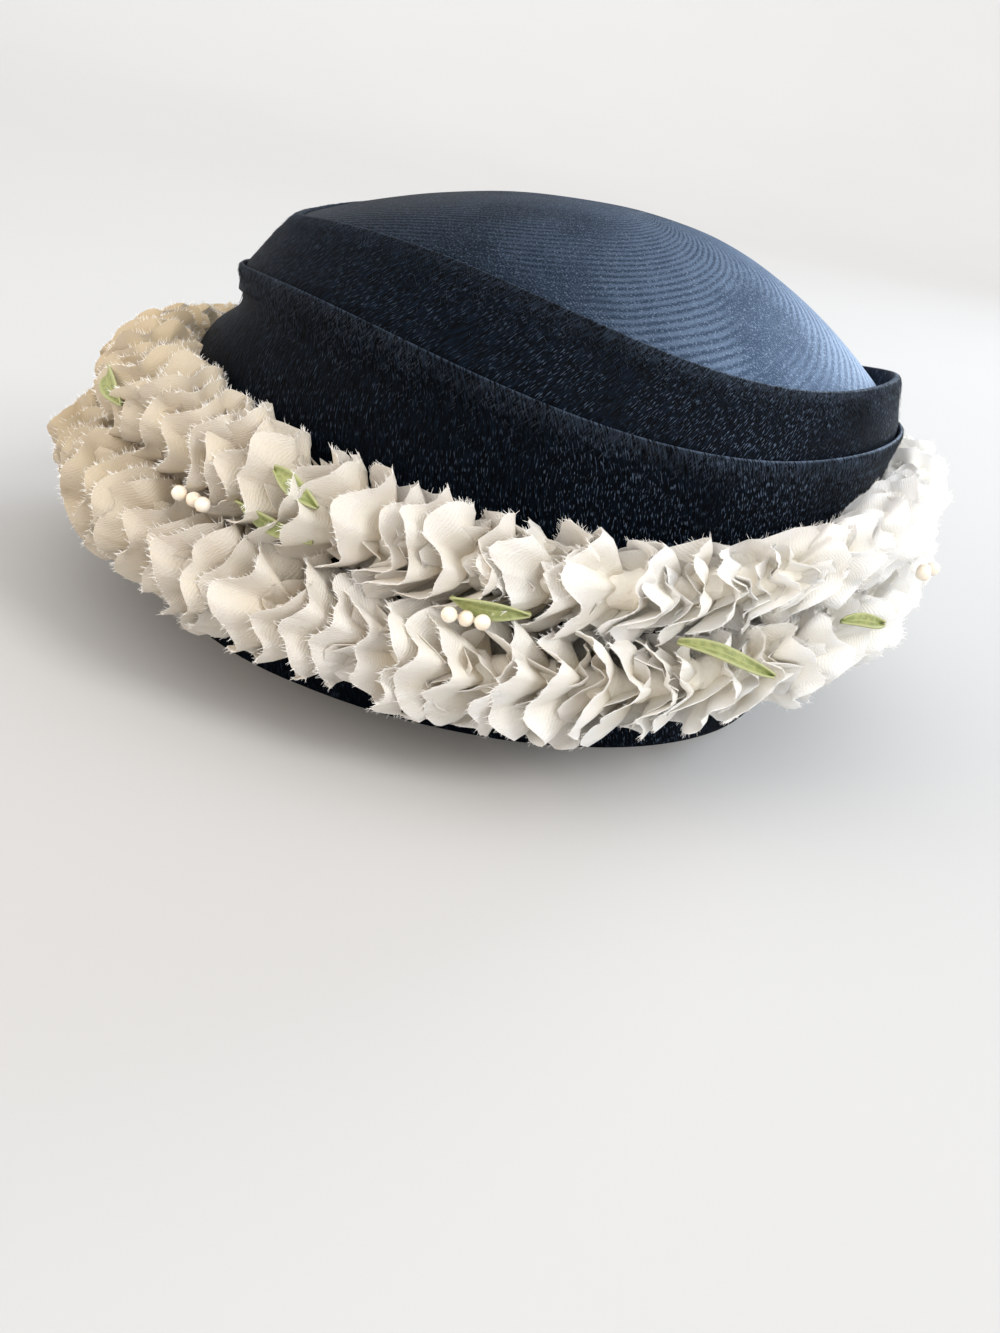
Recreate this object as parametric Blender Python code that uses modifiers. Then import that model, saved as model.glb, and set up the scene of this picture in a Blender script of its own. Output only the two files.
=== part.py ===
"""Dark cloth hat of two stepped bands under a domed tip, with a wreath of white cloth blossoms.

The rim's flat bottom edge lies on z = 0 and +X runs to the back of the hat. Every piece is
worked out from the rim's ellipse and the named sizes below. The whole hat is then moved
along X so that the wreath, its widest piece, is centred on the origin.
"""

import math

import bmesh
import bpy
from mathutils import Matrix, Vector

MM = 0.001

# Steps round the hat, shared by every ring so that neighbours keep their gap all the way round
AZIMUTH_STEPS = 60

# Edges sharper than this show as creases
CREASE_ANGLE = math.radians(50)

# Clearances
PIECE_GAP = 0.4 * MM
ROW_GAP = 0.8 * MM

# Head opening, over the outside of the rim
RIM_LENGTH = 195 * MM
RIM_DEPTH = 162 * MM

# Lower band, up to its rolled fold
BAND_WALL = 1.6 * MM
FOLD_LENGTH = 195 * MM
FOLD_DEPTH = 163 * MM
FOLD_SHIFT = 14.5 * MM
FOLD_HEIGHT = 91 * MM
FOLD_TILT = 5 * MM
FOLD_WAVE = 3 * MM
FOLD_WIDTH = 4.4 * MM
FOLD_TUCK = 7 * MM

# Upper band, standing inside the fold of the lower one
TIER_WALL = 1.6 * MM
TIER_LENGTH = 177 * MM
TIER_DEPTH = 124 * MM
TIER_SHIFT = 19 * MM
TIER_HEIGHT = 106 * MM
TIER_TILT = 8 * MM
TIER_WAVE = 3 * MM
TIER_FOOT = 9 * MM
LIP_WIDTH = 4.2 * MM
LIP_TUCK = 7 * MM

# Domed tip, seated inside the lip of the upper band
TIP_WALL = 1.6 * MM
TIP_APEX_HEIGHT = 127.5 * MM
TIP_APEX_SHIFT = 25 * MM
TIP_SEAT = 1.5 * MM
TIP_BACK_DROP = 3.0 * MM
TIP_ROUNDNESS = 2.6

# Flower rows, which rise towards the back and sag at the sides
LOWER_ROW_HEIGHT = 38 * MM
LOWER_ROW_STANDOFF = 22 * MM
LOWER_ROW_FRONT_STANDOFF = 18 * MM
LOWER_ROW_BACK_STANDOFF = 15 * MM
LOWER_ROW_RADIUS = 14.8 * MM
LOWER_ROW_RISE = 6.5 * MM
UPPER_ROW_HEIGHT = 60 * MM
UPPER_ROW_STANDOFF = 12 * MM
UPPER_ROW_FRONT_STANDOFF = 11 * MM
UPPER_ROW_BACK_STANDOFF = 9 * MM
UPPER_ROW_RADIUS = 14 * MM
UPPER_ROW_RISE = 4.5 * MM
ROW_SAG = 8.5 * MM
ROW_WAVE = 2 * MM
PETALS = 5
PETAL_WAVE = 0.06
PETAL_CORNERS = 3
THROAT = 0.84

# Leaves and stamens in the valley between the rows
LEAF_LENGTH = 26 * MM
LEAF_WIDTH = 7 * MM
LEAF_THICKNESS = 1.2 * MM
LEAF_STEPS = 6
LEAF_END_SHARE = 0.12
LEAF_FULLNESS = 0.7
PEARL_RADIUS = 1.9 * MM
STEM_RADIUS = 0.6 * MM
STEM_LENGTH = 9 * MM
STEM_SIDES = 8
PEARL_SEGMENTS = 10
PEARL_RINGS = 6

# Lower band, columns: share of the fold's height, share of the way from the rim's ellipse to
# the fold's at the front, the same at the back, share of the fold's width inwards
BAND_SECTION = (
    (0.00, 0.00, 0.00, 0.00),
    (0.05, 0.00, 0.00, 0.00),
    (0.40, 0.03, 0.38, 0.00),
    (0.62, 0.16, 0.64, 0.00),
    (0.80, 0.62, 0.84, 0.00),
    (0.90, 1.00, 0.95, 0.25),
    (0.95, 1.00, 0.98, 0.02),
    (0.98, 1.00, 1.00, 0.05),
    (1.00, 1.00, 1.00, 0.40),
    (0.99, 1.00, 1.00, 0.85),
)

# Upper band, columns: share of the way up from the lower fold to the lip, share of the way
# from the fold's inner ellipse to the lip's, share of the lip's width inwards
TIER_SECTION = (
    (0.00, 0.00, 0.00),
    (0.35, 0.08, 0.00),
    (0.65, 0.45, 0.00),
    (0.88, 0.90, 0.00),
    (0.97, 1.00, 0.05),
    (1.00, 1.00, 0.35),
    (0.98, 1.00, 0.85),
)

# Domed tip, one value a ring: share of the way out from the apex to the seat
TIP_RINGS = (1.0, 0.93, 0.82, 0.68, 0.52, 0.36, 0.18)

# Leaves, columns: degrees round the hat, degrees round the row's section, share of the leaf's
# length, which row
LEAVES = (
    (209, 10, 0.70, "upper"),
    (243.5, -12, 0.70, "upper"),
    (243, 35, 0.55, "upper"),
    (277, -12, 0.92, "upper"),
    (299, 56, 1.00, "lower"),
    (318, 48, 0.62, "lower"),
    (26, -12, 0.85, "upper"),
    (76, 56, 0.92, "lower"),
    (130, -12, 0.85, "upper"),
)

# Stamen clusters: degrees round the hat
STAMENS = (234, 268.5, 330)

# Pearls of a cluster, columns: share of the pearl's diameter along the row, share out of it
PEARLS = (
    (-1.02, 0.25),
    (0.0, 0.0),
    (1.02, 0.3),
)


def ellipse_point(theta, shift, length, depth):
    """Point of an ellipse at an angle, seen from above."""
    return Vector((shift + 0.5 * length * math.cos(theta), 0.5 * depth * math.sin(theta), 0.0))


def outward(theta):
    """Horizontal direction straight out of the rim at an angle."""
    return Vector((math.cos(theta) / RIM_LENGTH, math.sin(theta) / RIM_DEPTH, 0.0)).normalized()


def front_share(theta):
    """Share of a value for the front that holds at an angle: one at the front, none behind."""
    return 0.5 - 0.5 * math.cos(theta)


def fold_height(theta):
    """Height of the lower band's rolled fold: high at the front, dipping behind."""
    return FOLD_HEIGHT - FOLD_TILT * math.cos(theta) + FOLD_WAVE * math.cos(3 * theta)


def lip_height(theta):
    """Height of the upper band's lip."""
    return TIER_HEIGHT - TIER_TILT * math.cos(theta) + TIER_WAVE * math.cos(3 * theta)


def band_point(theta, lean, height, inset=0.0):
    """Point of the lower band's outside, a share of the way from the rim to the fold."""
    rim = ellipse_point(theta, 0.0, RIM_LENGTH, RIM_DEPTH)
    fold = ellipse_point(theta, FOLD_SHIFT, FOLD_LENGTH, FOLD_DEPTH)
    point = rim.lerp(fold, lean) - outward(theta) * inset
    point.z = height
    return point


def band_lean(theta, height):
    """How far the lower band's side has gone from the rim to the fold at a height."""
    share = height / fold_height(theta)
    front = front_share(theta)
    for below, above in zip(BAND_SECTION, BAND_SECTION[1:]):
        if below[0] <= share <= above[0]:
            part = (share - below[0]) / (above[0] - below[0])
            low = front * below[1] + (1 - front) * below[2]
            high = front * above[1] + (1 - front) * above[2]
            return low + part * (high - low)
    return 0.0 if share < 0 else 1.0


def lip_inner_point(theta, inset, height):
    """Point a distance inside the ellipse of the upper band's lip."""
    point = ellipse_point(theta, TIER_SHIFT, TIER_LENGTH, TIER_DEPTH) - outward(theta) * inset
    point.z = height
    return point


def angles():
    """Angles of the steps round the hat, starting at its back."""
    return [2 * math.pi * step / AZIMUTH_STEPS for step in range(AZIMUTH_STEPS)]


def ring_of(bm, points):
    """Add a ring of vertices."""
    return [bm.verts.new(point) for point in points]


def bridge(bm, lower, upper):
    """Join two rings of as many vertices with quads."""
    count = len(lower)
    for index in range(count):
        following = (index + 1) % count
        bm.faces.new((lower[index], lower[following], upper[following], upper[index]))


def finished_object(name, bm, material, collection):
    """Turn a bmesh into a smooth-shaded object with its material."""
    mesh = bpy.data.meshes.new(name)
    bm.normal_update()
    bm.to_mesh(mesh)
    bm.free()
    mesh.materials.append(material)
    mesh.shade_smooth()
    mesh.set_sharp_from_angle(angle=CREASE_ANGLE)
    obj = bpy.data.objects.new(name, mesh)
    collection.objects.link(obj)
    return obj


def add_wall(obj, thickness):
    """Give an open surface its thickness on its inner side."""
    solidify = obj.modifiers.new("Wall", "SOLIDIFY")
    solidify.thickness = thickness
    solidify.offset = -1.0
    solidify.use_even_offset = True
    return obj


def make_material(name, colour, roughness, metallic=0.0):
    """Make a plain Principled material."""
    material = bpy.data.materials.new(name)
    material.use_nodes = True
    shader = material.node_tree.nodes["Principled BSDF"]
    shader.inputs["Base Color"].default_value = (*colour, 1.0)
    shader.inputs["Roughness"].default_value = roughness
    shader.inputs["Metallic"].default_value = metallic
    material.diffuse_color = (*colour, 1.0)
    return material


def make_lower_band(material, collection):
    """Side wall from the flat rim to the rolled fold, which turns down inside."""
    bm = bmesh.new()
    rings = []
    for share, front_lean, back_lean, inset in BAND_SECTION:
        points = []
        for theta in angles():
            front = front_share(theta)
            lean = front * front_lean + (1 - front) * back_lean
            points.append(band_point(theta, lean, share * fold_height(theta), inset * FOLD_WIDTH))
        rings.append(ring_of(bm, points))
    tuck = [
        band_point(theta, 1.0, fold_height(theta) - FOLD_TUCK, FOLD_WIDTH) for theta in angles()
    ]
    rings.append(ring_of(bm, tuck))
    for lower, upper in zip(rings, rings[1:]):
        bridge(bm, lower, upper)
    return add_wall(finished_object("lower_band", bm, material, collection), BAND_WALL)


def tier_base_point(theta, height):
    """Point where the upper band's outside stands, just clear of the lower band's tuck."""
    return band_point(theta, 1.0, height, FOLD_WIDTH + PIECE_GAP)


def make_upper_band(material, collection):
    """Second tier from its foot inside the fold to its own rolled lip."""
    bm = bmesh.new()
    foot = [tier_base_point(theta, fold_height(theta) - TIER_FOOT) for theta in angles()]
    rings = [ring_of(bm, foot)]
    for share, lean, inset in TIER_SECTION:
        points = []
        for theta in angles():
            start = tier_base_point(theta, fold_height(theta))
            lip = lip_inner_point(theta, 0.0, lip_height(theta))
            point = start.lerp(lip, lean) - outward(theta) * inset * LIP_WIDTH
            point.z = start.z + share * (lip.z - start.z)
            points.append(point)
        rings.append(ring_of(bm, points))
    tuck = [
        lip_inner_point(theta, LIP_WIDTH, lip_height(theta) - LIP_TUCK) for theta in angles()
    ]
    rings.append(ring_of(bm, tuck))
    for lower, upper in zip(rings, rings[1:]):
        bridge(bm, lower, upper)
    return add_wall(finished_object("upper_band", bm, material, collection), TIER_WALL)


def tip_seat_height(theta):
    """Height of the tip's edge inside the lip: lowest at the back, where the lip stands free."""
    return lip_height(theta) - TIP_SEAT - TIP_BACK_DROP * (1 - front_share(theta))


def make_crown_tip(material, collection):
    """Domed tip, a shell of rings that rise from its seat inside the lip to the apex."""
    bm = bmesh.new()
    apex = Vector((TIP_APEX_SHIFT, 0.0, TIP_APEX_HEIGHT))
    hem = [
        lip_inner_point(theta, LIP_WIDTH + PIECE_GAP, lip_height(theta) - LIP_TUCK)
        for theta in angles()
    ]
    rings = [ring_of(bm, hem)]
    for out in TIP_RINGS:
        points = []
        for theta in angles():
            seat = lip_inner_point(theta, LIP_WIDTH + PIECE_GAP, tip_seat_height(theta))
            point = apex.lerp(seat, out)
            point.z = apex.z - (apex.z - seat.z) * out**TIP_ROUNDNESS
            points.append(point)
        rings.append(ring_of(bm, points))
    for lower, upper in zip(rings, rings[1:]):
        bridge(bm, lower, upper)
    top = bm.verts.new(apex)
    last = rings[-1]
    for index, vertex in enumerate(last):
        bm.faces.new((vertex, last[(index + 1) % len(last)], top))
    return add_wall(finished_object("crown_tip", bm, material, collection), TIP_WALL)


def blend_round(theta, front, side, back):
    """Value at an angle, from its values at the front, the sides and the back."""
    across = math.sin(theta) ** 2
    end = front if math.cos(theta) < 0 else back
    return side * across + end * (1 - across)


def row_place(row, theta):
    """Height, standoff from the band and radius of a flower row at an angle."""
    lift = ROW_SAG * math.cos(2 * theta) + ROW_WAVE * math.cos(3 * theta)
    if row == "upper":
        height = UPPER_ROW_HEIGHT + lift + UPPER_ROW_RISE * math.cos(theta)
        standoff = blend_round(
            theta, UPPER_ROW_FRONT_STANDOFF, UPPER_ROW_STANDOFF, UPPER_ROW_BACK_STANDOFF
        )
        return height, standoff, UPPER_ROW_RADIUS
    height = LOWER_ROW_HEIGHT + lift + LOWER_ROW_RISE * math.cos(theta)
    standoff = blend_round(
        theta, LOWER_ROW_FRONT_STANDOFF, LOWER_ROW_STANDOFF, LOWER_ROW_BACK_STANDOFF
    )
    return height, standoff, LOWER_ROW_RADIUS


def blossom_scale(step, phi):
    """Share of a row's radius at a step round the hat: lobed rims, and throats between them.

    Every other rim is turned by half a petal, and both sides of the hat match.
    """
    mirrored = min(step, AZIMUTH_STEPS - step)
    if mirrored % 2 == 0:
        return THROAT
    turn = math.pi if mirrored % 4 == 3 else 0.0
    return 1.0 + PETAL_WAVE * math.cos(PETALS * phi + turn)


def row_surface(theta, out, height):
    """Point at a distance out from the lower band's side at a height."""
    return band_point(theta, band_lean(theta, height), height, -out)


def row_section_point(row, theta, phi, scale):
    """Place in a row's section, as distance out from the band and height.

    The side next to the band reaches in until it lies against it, and the side next to the
    other row is pressed flat halfway between the two.
    """
    height, standoff, radius = row_place(row, theta)
    other = "lower" if row == "upper" else "upper"
    other_height, other_standoff, _ = row_place(other, theta)
    reach = radius * scale if math.cos(phi) > 0 else standoff - PIECE_GAP
    place = Vector((standoff + reach * math.cos(phi), height + radius * scale * math.sin(phi)))
    across = Vector((other_standoff - standoff, other_height - height))
    limit = 0.5 * across.length - 0.5 * ROW_GAP
    across.normalize()
    past = (place - Vector((standoff, height))).dot(across) - limit
    if past > 0:
        place -= across * past
    place.x = max(place.x, PIECE_GAP)
    return place


def make_flower_row(row, material, collection):
    """Ring of gathered blossoms: lobed rims with narrow throats between them."""
    bm = bmesh.new()
    count = PETAL_CORNERS * PETALS
    rings = []
    for step, theta in enumerate(angles()):
        points = []
        for corner in range(count):
            phi = -2 * math.pi * corner / count
            place = row_section_point(row, theta, phi, blossom_scale(step, phi))
            points.append(row_surface(theta, place.x, place.y))
        rings.append(ring_of(bm, points))
    for index, ring in enumerate(rings):
        bridge(bm, ring, rings[(index + 1) % len(rings)])
    return finished_object(f"{row}_flower_row", bm, material, collection)


def over_rims(row, theta, phi, lift):
    """Point a lift above the circle that the blossoms' rims reach."""
    height, standoff, radius = row_place(row, theta)
    reach = radius * (1 + PETAL_WAVE) + lift
    out = standoff + reach * math.cos(phi)
    up = height + reach * math.sin(phi)
    return row_surface(theta, out, up)


def make_leaf(number, degrees, around, share_long, row, material, collection):
    """Narrow pointed leaf that lies along the row over the blossoms' rims."""
    bm = bmesh.new()
    centre = math.radians(degrees)
    phi = math.radians(around)
    _, _, radius = row_place(row, centre)
    turn = share_long * LEAF_LENGTH / (0.5 * RIM_LENGTH + UPPER_ROW_STANDOFF)
    half = 0.5 * LEAF_WIDTH / radius
    rings = []
    for index in range(LEAF_STEPS + 1):
        share = index / LEAF_STEPS
        width = half * max(LEAF_END_SHARE, math.sin(math.pi * share) ** LEAF_FULLNESS)
        theta = centre + turn * (share - 0.5)
        corners = (
            (phi - width, PIECE_GAP),
            (phi - width, PIECE_GAP + LEAF_THICKNESS),
            (phi + width, PIECE_GAP + LEAF_THICKNESS),
            (phi + width, PIECE_GAP),
        )
        rings.append(ring_of(bm, [over_rims(row, theta, *corner) for corner in corners]))
    for lower, upper in zip(rings, rings[1:]):
        bridge(bm, lower, upper)
    bm.faces.new(list(reversed(rings[0])))
    bm.faces.new(rings[-1])
    bmesh.ops.recalc_face_normals(bm, faces=bm.faces)
    return finished_object(f"leaf_{number}", bm, material, collection)


def valley_seat(theta, clear):
    """Place in the valley between the rows that clears both of them by a distance.

    Returns it, and the direction out of the valley, as distance out from the band and height.
    It lies where two circles round the rows' centres cross.
    """
    step = round(theta / (2 * math.pi) * AZIMUTH_STEPS) % AZIMUTH_STEPS
    low_height, low_standoff, low_radius = row_place("lower", theta)
    high_height, high_standoff, high_radius = row_place("upper", theta)
    low = Vector((low_standoff, low_height))
    high = Vector((high_standoff, high_height))
    across = (high - low).normalized()
    out = Vector((across.y, -across.x))
    span = (high - low).length
    low_reach = low_radius * (1 + PETAL_WAVE) + clear
    high_reach = high_radius * (1 + PETAL_WAVE) + clear
    for _ in range(3):
        up = (low_reach**2 - high_reach**2 + span**2) / (2 * span)
        seat = low + across * up + out * math.sqrt(low_reach**2 - up**2)
        low_ray = seat - low
        high_ray = seat - high
        low_reach = low_radius * blossom_scale(step, math.atan2(low_ray.y, low_ray.x)) + clear
        high_reach = high_radius * blossom_scale(step, math.atan2(high_ray.y, high_ray.x)) + clear
    return seat, out


def make_stamens(number, degrees, material, collection, cutters):
    """Three pearls on a short stem that lies in the valley between the rows."""
    theta = math.radians(degrees)
    seat, direction = valley_seat(theta, PIECE_GAP + PEARL_RADIUS)
    centre = row_surface(theta, seat.x, seat.y)
    out = (outward(theta) * direction.x + Vector((0.0, 0.0, direction.y))).normalized()
    along = outward(theta).cross(Vector((0.0, 0.0, 1.0))).normalized()
    across = out.cross(along)
    turn = Matrix((along, across, out)).transposed().to_4x4()
    place = Matrix.Translation(centre) @ turn
    bm = bmesh.new()
    bmesh.ops.create_cone(
        bm,
        cap_ends=True,
        segments=STEM_SIDES,
        radius1=STEM_RADIUS,
        radius2=STEM_RADIUS,
        depth=STEM_LENGTH,
        matrix=Matrix.Rotation(math.radians(90), 4, "Y"),
    )
    stem = finished_object(f"stamens_{number}", bm, material, collection)
    stem.matrix_world = place
    for share_along, share_out in PEARLS:
        pearl_mesh = bmesh.new()
        bmesh.ops.create_uvsphere(
            pearl_mesh, u_segments=PEARL_SEGMENTS, v_segments=PEARL_RINGS, radius=PEARL_RADIUS
        )
        pearl = finished_object(f"pearl_of_{number}", pearl_mesh, material, cutters)
        pearl.hide_render = True
        pearl.display_type = "WIRE"
        offset = Vector((share_along, 0.0, share_out)) * 2 * PEARL_RADIUS
        pearl.matrix_world = place @ Matrix.Translation(offset)
        union = stem.modifiers.new("Pearl", "BOOLEAN")
        union.operation = "UNION"
        union.object = pearl
    return stem


def clear_scene():
    """Remove what the scene holds."""
    for obj in list(bpy.data.objects):
        bpy.data.objects.remove(obj, do_unlink=True)


def centre_on_origin(collections, widest):
    """Carry every piece on an empty that puts the widest one's middle over the origin."""
    xs = [vertex.co.x for vertex in widest.data.vertices]
    carrier = bpy.data.objects.new("hat", None)
    collections[0].objects.link(carrier)
    carrier.location.x = -0.5 * (min(xs) + max(xs))
    for collection in collections:
        for obj in collection.objects:
            if obj is not carrier:
                obj.parent = carrier


def main():
    """Build the hat."""
    clear_scene()
    collection = bpy.data.collections.new("Flower wreath hat")
    bpy.context.scene.collection.children.link(collection)
    cutters = bpy.data.collections.new("Cutters")
    bpy.context.scene.collection.children.link(cutters)
    band_cloth = make_material("band_cloth", (0.008, 0.012, 0.024), 0.6)
    tier_cloth = make_material("tier_cloth", (0.012, 0.017, 0.032), 0.55)
    tip_cloth = make_material("tip_cloth", (0.045, 0.065, 0.12), 0.4)
    blossom_cloth = make_material("blossom_cloth", (0.87, 0.83, 0.74), 0.6)
    leaf_cloth = make_material("leaf_cloth", (0.30, 0.36, 0.14), 0.6)
    pearl_glaze = make_material("pearl_glaze", (0.85, 0.74, 0.60), 0.25)
    make_lower_band(band_cloth, collection)
    make_upper_band(tier_cloth, collection)
    make_crown_tip(tip_cloth, collection)
    make_flower_row("upper", blossom_cloth, collection)
    widest = make_flower_row("lower", blossom_cloth, collection)
    for number, leaf in enumerate(LEAVES, start=1):
        make_leaf(number, *leaf, leaf_cloth, collection)
    for number, degrees in enumerate(STAMENS, start=1):
        make_stamens(number, degrees, pearl_glaze, collection, cutters)
    centre_on_origin((collection, cutters), widest)


main()
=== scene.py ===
"""Looks of the stepped hat with its blossom wreath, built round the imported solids."""

import logging
import math
import random
from collections.abc import Callable, Sequence
from dataclasses import dataclass
from enum import Enum

import bmesh
import bpy
from mathutils import Matrix, Vector, noise


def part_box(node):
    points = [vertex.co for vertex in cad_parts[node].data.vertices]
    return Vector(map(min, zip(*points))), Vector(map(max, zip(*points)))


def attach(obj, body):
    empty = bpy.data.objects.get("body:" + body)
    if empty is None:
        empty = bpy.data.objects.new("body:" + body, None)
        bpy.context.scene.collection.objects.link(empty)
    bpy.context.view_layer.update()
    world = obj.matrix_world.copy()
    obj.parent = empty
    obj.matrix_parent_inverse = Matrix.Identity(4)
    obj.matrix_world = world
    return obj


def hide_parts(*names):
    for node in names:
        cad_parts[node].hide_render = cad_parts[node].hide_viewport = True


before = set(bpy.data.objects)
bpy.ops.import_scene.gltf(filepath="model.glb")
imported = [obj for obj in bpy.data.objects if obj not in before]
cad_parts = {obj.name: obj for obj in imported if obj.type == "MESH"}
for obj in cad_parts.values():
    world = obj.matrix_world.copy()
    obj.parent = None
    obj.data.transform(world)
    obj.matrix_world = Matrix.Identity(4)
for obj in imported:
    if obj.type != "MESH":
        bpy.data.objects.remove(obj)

LOG = logging.getLogger("hat")
MM = 0.001
BODY = "root"
WELD = 1e-6
TURN = 2 * math.pi


class Row(Enum):
    """The two rows of the wreath."""

    LOWER = "lower"
    UPPER = "upper"


@dataclass(frozen=True)
class Wire:
    """A node's output, with the arithmetic that shader expressions use."""

    tree: bpy.types.NodeTree
    socket: bpy.types.NodeSocket

    def _sum(self, operation: str, first: object, second: object = 0.0) -> "Wire":
        """Add one Math node.

        Args:
            operation: The Math node's operation.
            first: A wire or a number.
            second: A wire or a number.

        Returns:
            The node's result.
        """
        node = self.tree.nodes.new("ShaderNodeMath")
        node.operation = operation
        for socket, value in zip(node.inputs, (first, second)):
            if isinstance(value, Wire):
                self.tree.links.new(value.socket, socket)
            else:
                socket.default_value = float(value)
        return Wire(self.tree, node.outputs[0])

    def __add__(self, other: object) -> "Wire":
        """Sum of the two."""
        return self._sum("ADD", self, other)

    def __radd__(self, other: object) -> "Wire":
        """Sum of the two."""
        return self._sum("ADD", other, self)

    def __sub__(self, other: object) -> "Wire":
        """This less the other."""
        return self._sum("SUBTRACT", self, other)

    def __rsub__(self, other: object) -> "Wire":
        """The other less this."""
        return self._sum("SUBTRACT", other, self)

    def __mul__(self, other: object) -> "Wire":
        """Product of the two."""
        return self._sum("MULTIPLY", self, other)

    def __rmul__(self, other: object) -> "Wire":
        """Product of the two."""
        return self._sum("MULTIPLY", other, self)

    def sine(self) -> "Wire":
        """Sine of this."""
        return self._sum("SINE", self)

    def size(self) -> "Wire":
        """This without its sign."""
        return self._sum("ABSOLUTE", self)


class NodeBoard:
    """The node tree of one finish, and the one way that its nodes are made."""

    def __init__(self, name: str) -> None:
        """Start an empty material.

        Args:
            name: The material's name.
        """
        self.material = bpy.data.materials.new(name)
        self.material.use_nodes = True
        self.tree = self.material.node_tree
        self.tree.nodes.clear()

    def add(
        self,
        kind: str,
        settings: dict | None = None,
        inputs: dict | None = None,
        output: int | str = 0,
    ) -> Wire:
        """Add a node of any kind but Math.

        Args:
            kind: The node's type.
            settings: The node's own settings; stops are a ramp's places and colours.
            inputs: Values or wires by the socket's name or number.
            output: The output to hand on.

        Returns:
            The chosen output.
        """
        node = self.tree.nodes.new(kind)
        for key, value in (settings or {}).items():
            if key == "stops":
                self._set_stops(node.color_ramp, value)
            else:
                setattr(node, key, value)
        for key, value in (inputs or {}).items():
            socket = node.inputs[key]
            if isinstance(value, Wire):
                self.tree.links.new(value.socket, socket)
            elif socket.type == "RGBA" and len(value) == 3:
                socket.default_value = (*value, 1.0)
            else:
                socket.default_value = value
        if not len(node.outputs):
            return Wire(self.tree, node.inputs[0])
        return Wire(self.tree, node.outputs[output])

    @staticmethod
    def _set_stops(ramp: bpy.types.ColorRamp, stops: Sequence) -> None:
        """Set a ramp's stops.

        Args:
            ramp: The ramp.
            stops: Pairs of place and colour.
        """
        while len(ramp.elements) < len(stops):
            ramp.elements.new(1.0)
        for element, (place, colour) in zip(ramp.elements, stops):
            element.position = place
            element.color = (*colour, 1.0)

    def place(self) -> Wire:
        """Place of a point on its object."""
        return self.add("ShaderNodeTexCoord", None, None, "Object")

    def chart(self, name: str) -> Wire:
        """One of the mesh's own maps."""
        return self.add("ShaderNodeUVMap", {"uv_map": name})

    def own(self, name: str) -> Wire:
        """Number that each point of the mesh carries."""
        return self.add("ShaderNodeAttribute", {"attribute_name": name}, None, "Fac")

    def axis(self, vector: Wire, letter: str) -> Wire:
        """One part of a vector."""
        return self.add("ShaderNodeSeparateXYZ", None, {0: vector}, letter)

    def mapped(self, vector: Wire, how: str, value: tuple) -> Wire:
        """A map after a Rotation or a Scale."""
        return self.add("ShaderNodeMapping", None, {"Vector": vector, how: value})

    def noise(self, vector: Wire, scale: float, detail: float = 2.0) -> Wire:
        """Noise over a map or over the place."""
        inputs = {"Vector": vector, "Scale": scale, "Detail": detail}
        return self.add("ShaderNodeTexNoise", None, inputs)

    def mix(self, share: object, first: object, second: object) -> Wire:
        """Mix two colours; the share is of the second."""
        inputs = {0: share, 6: first, 7: second}
        return self.add("ShaderNodeMix", {"data_type": "RGBA"}, inputs, 2)

    def grey(self, value: Wire, low: float, high: float) -> Wire:
        """Spread a value from none at one end of a range to one at the other."""
        inputs = {"Value": value, "From Min": low, "From Max": high}
        return self.add("ShaderNodeMapRange", {"interpolation_type": "SMOOTHSTEP"}, inputs)

    def surface(
        self, inputs: dict, height: Wire | None = None, depth: float = 0.0
    ) -> bpy.types.Material:
        """Close the tree with a Principled shader.

        Args:
            inputs: Values or wires of the shader.
            height: Relief that becomes the bump.
            depth: Depth of the bump in metres.

        Returns:
            The finished material.
        """
        if height is not None:
            relief = {"Height": height, "Distance": depth, "Strength": 1.0}
            inputs = {**inputs, "Normal": self.add("ShaderNodeBump", None, relief)}
        shader = self.add("ShaderNodeBsdfPrincipled", None, inputs)
        self.add("ShaderNodeOutputMaterial", None, {"Surface": shader})
        return self.material


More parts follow.
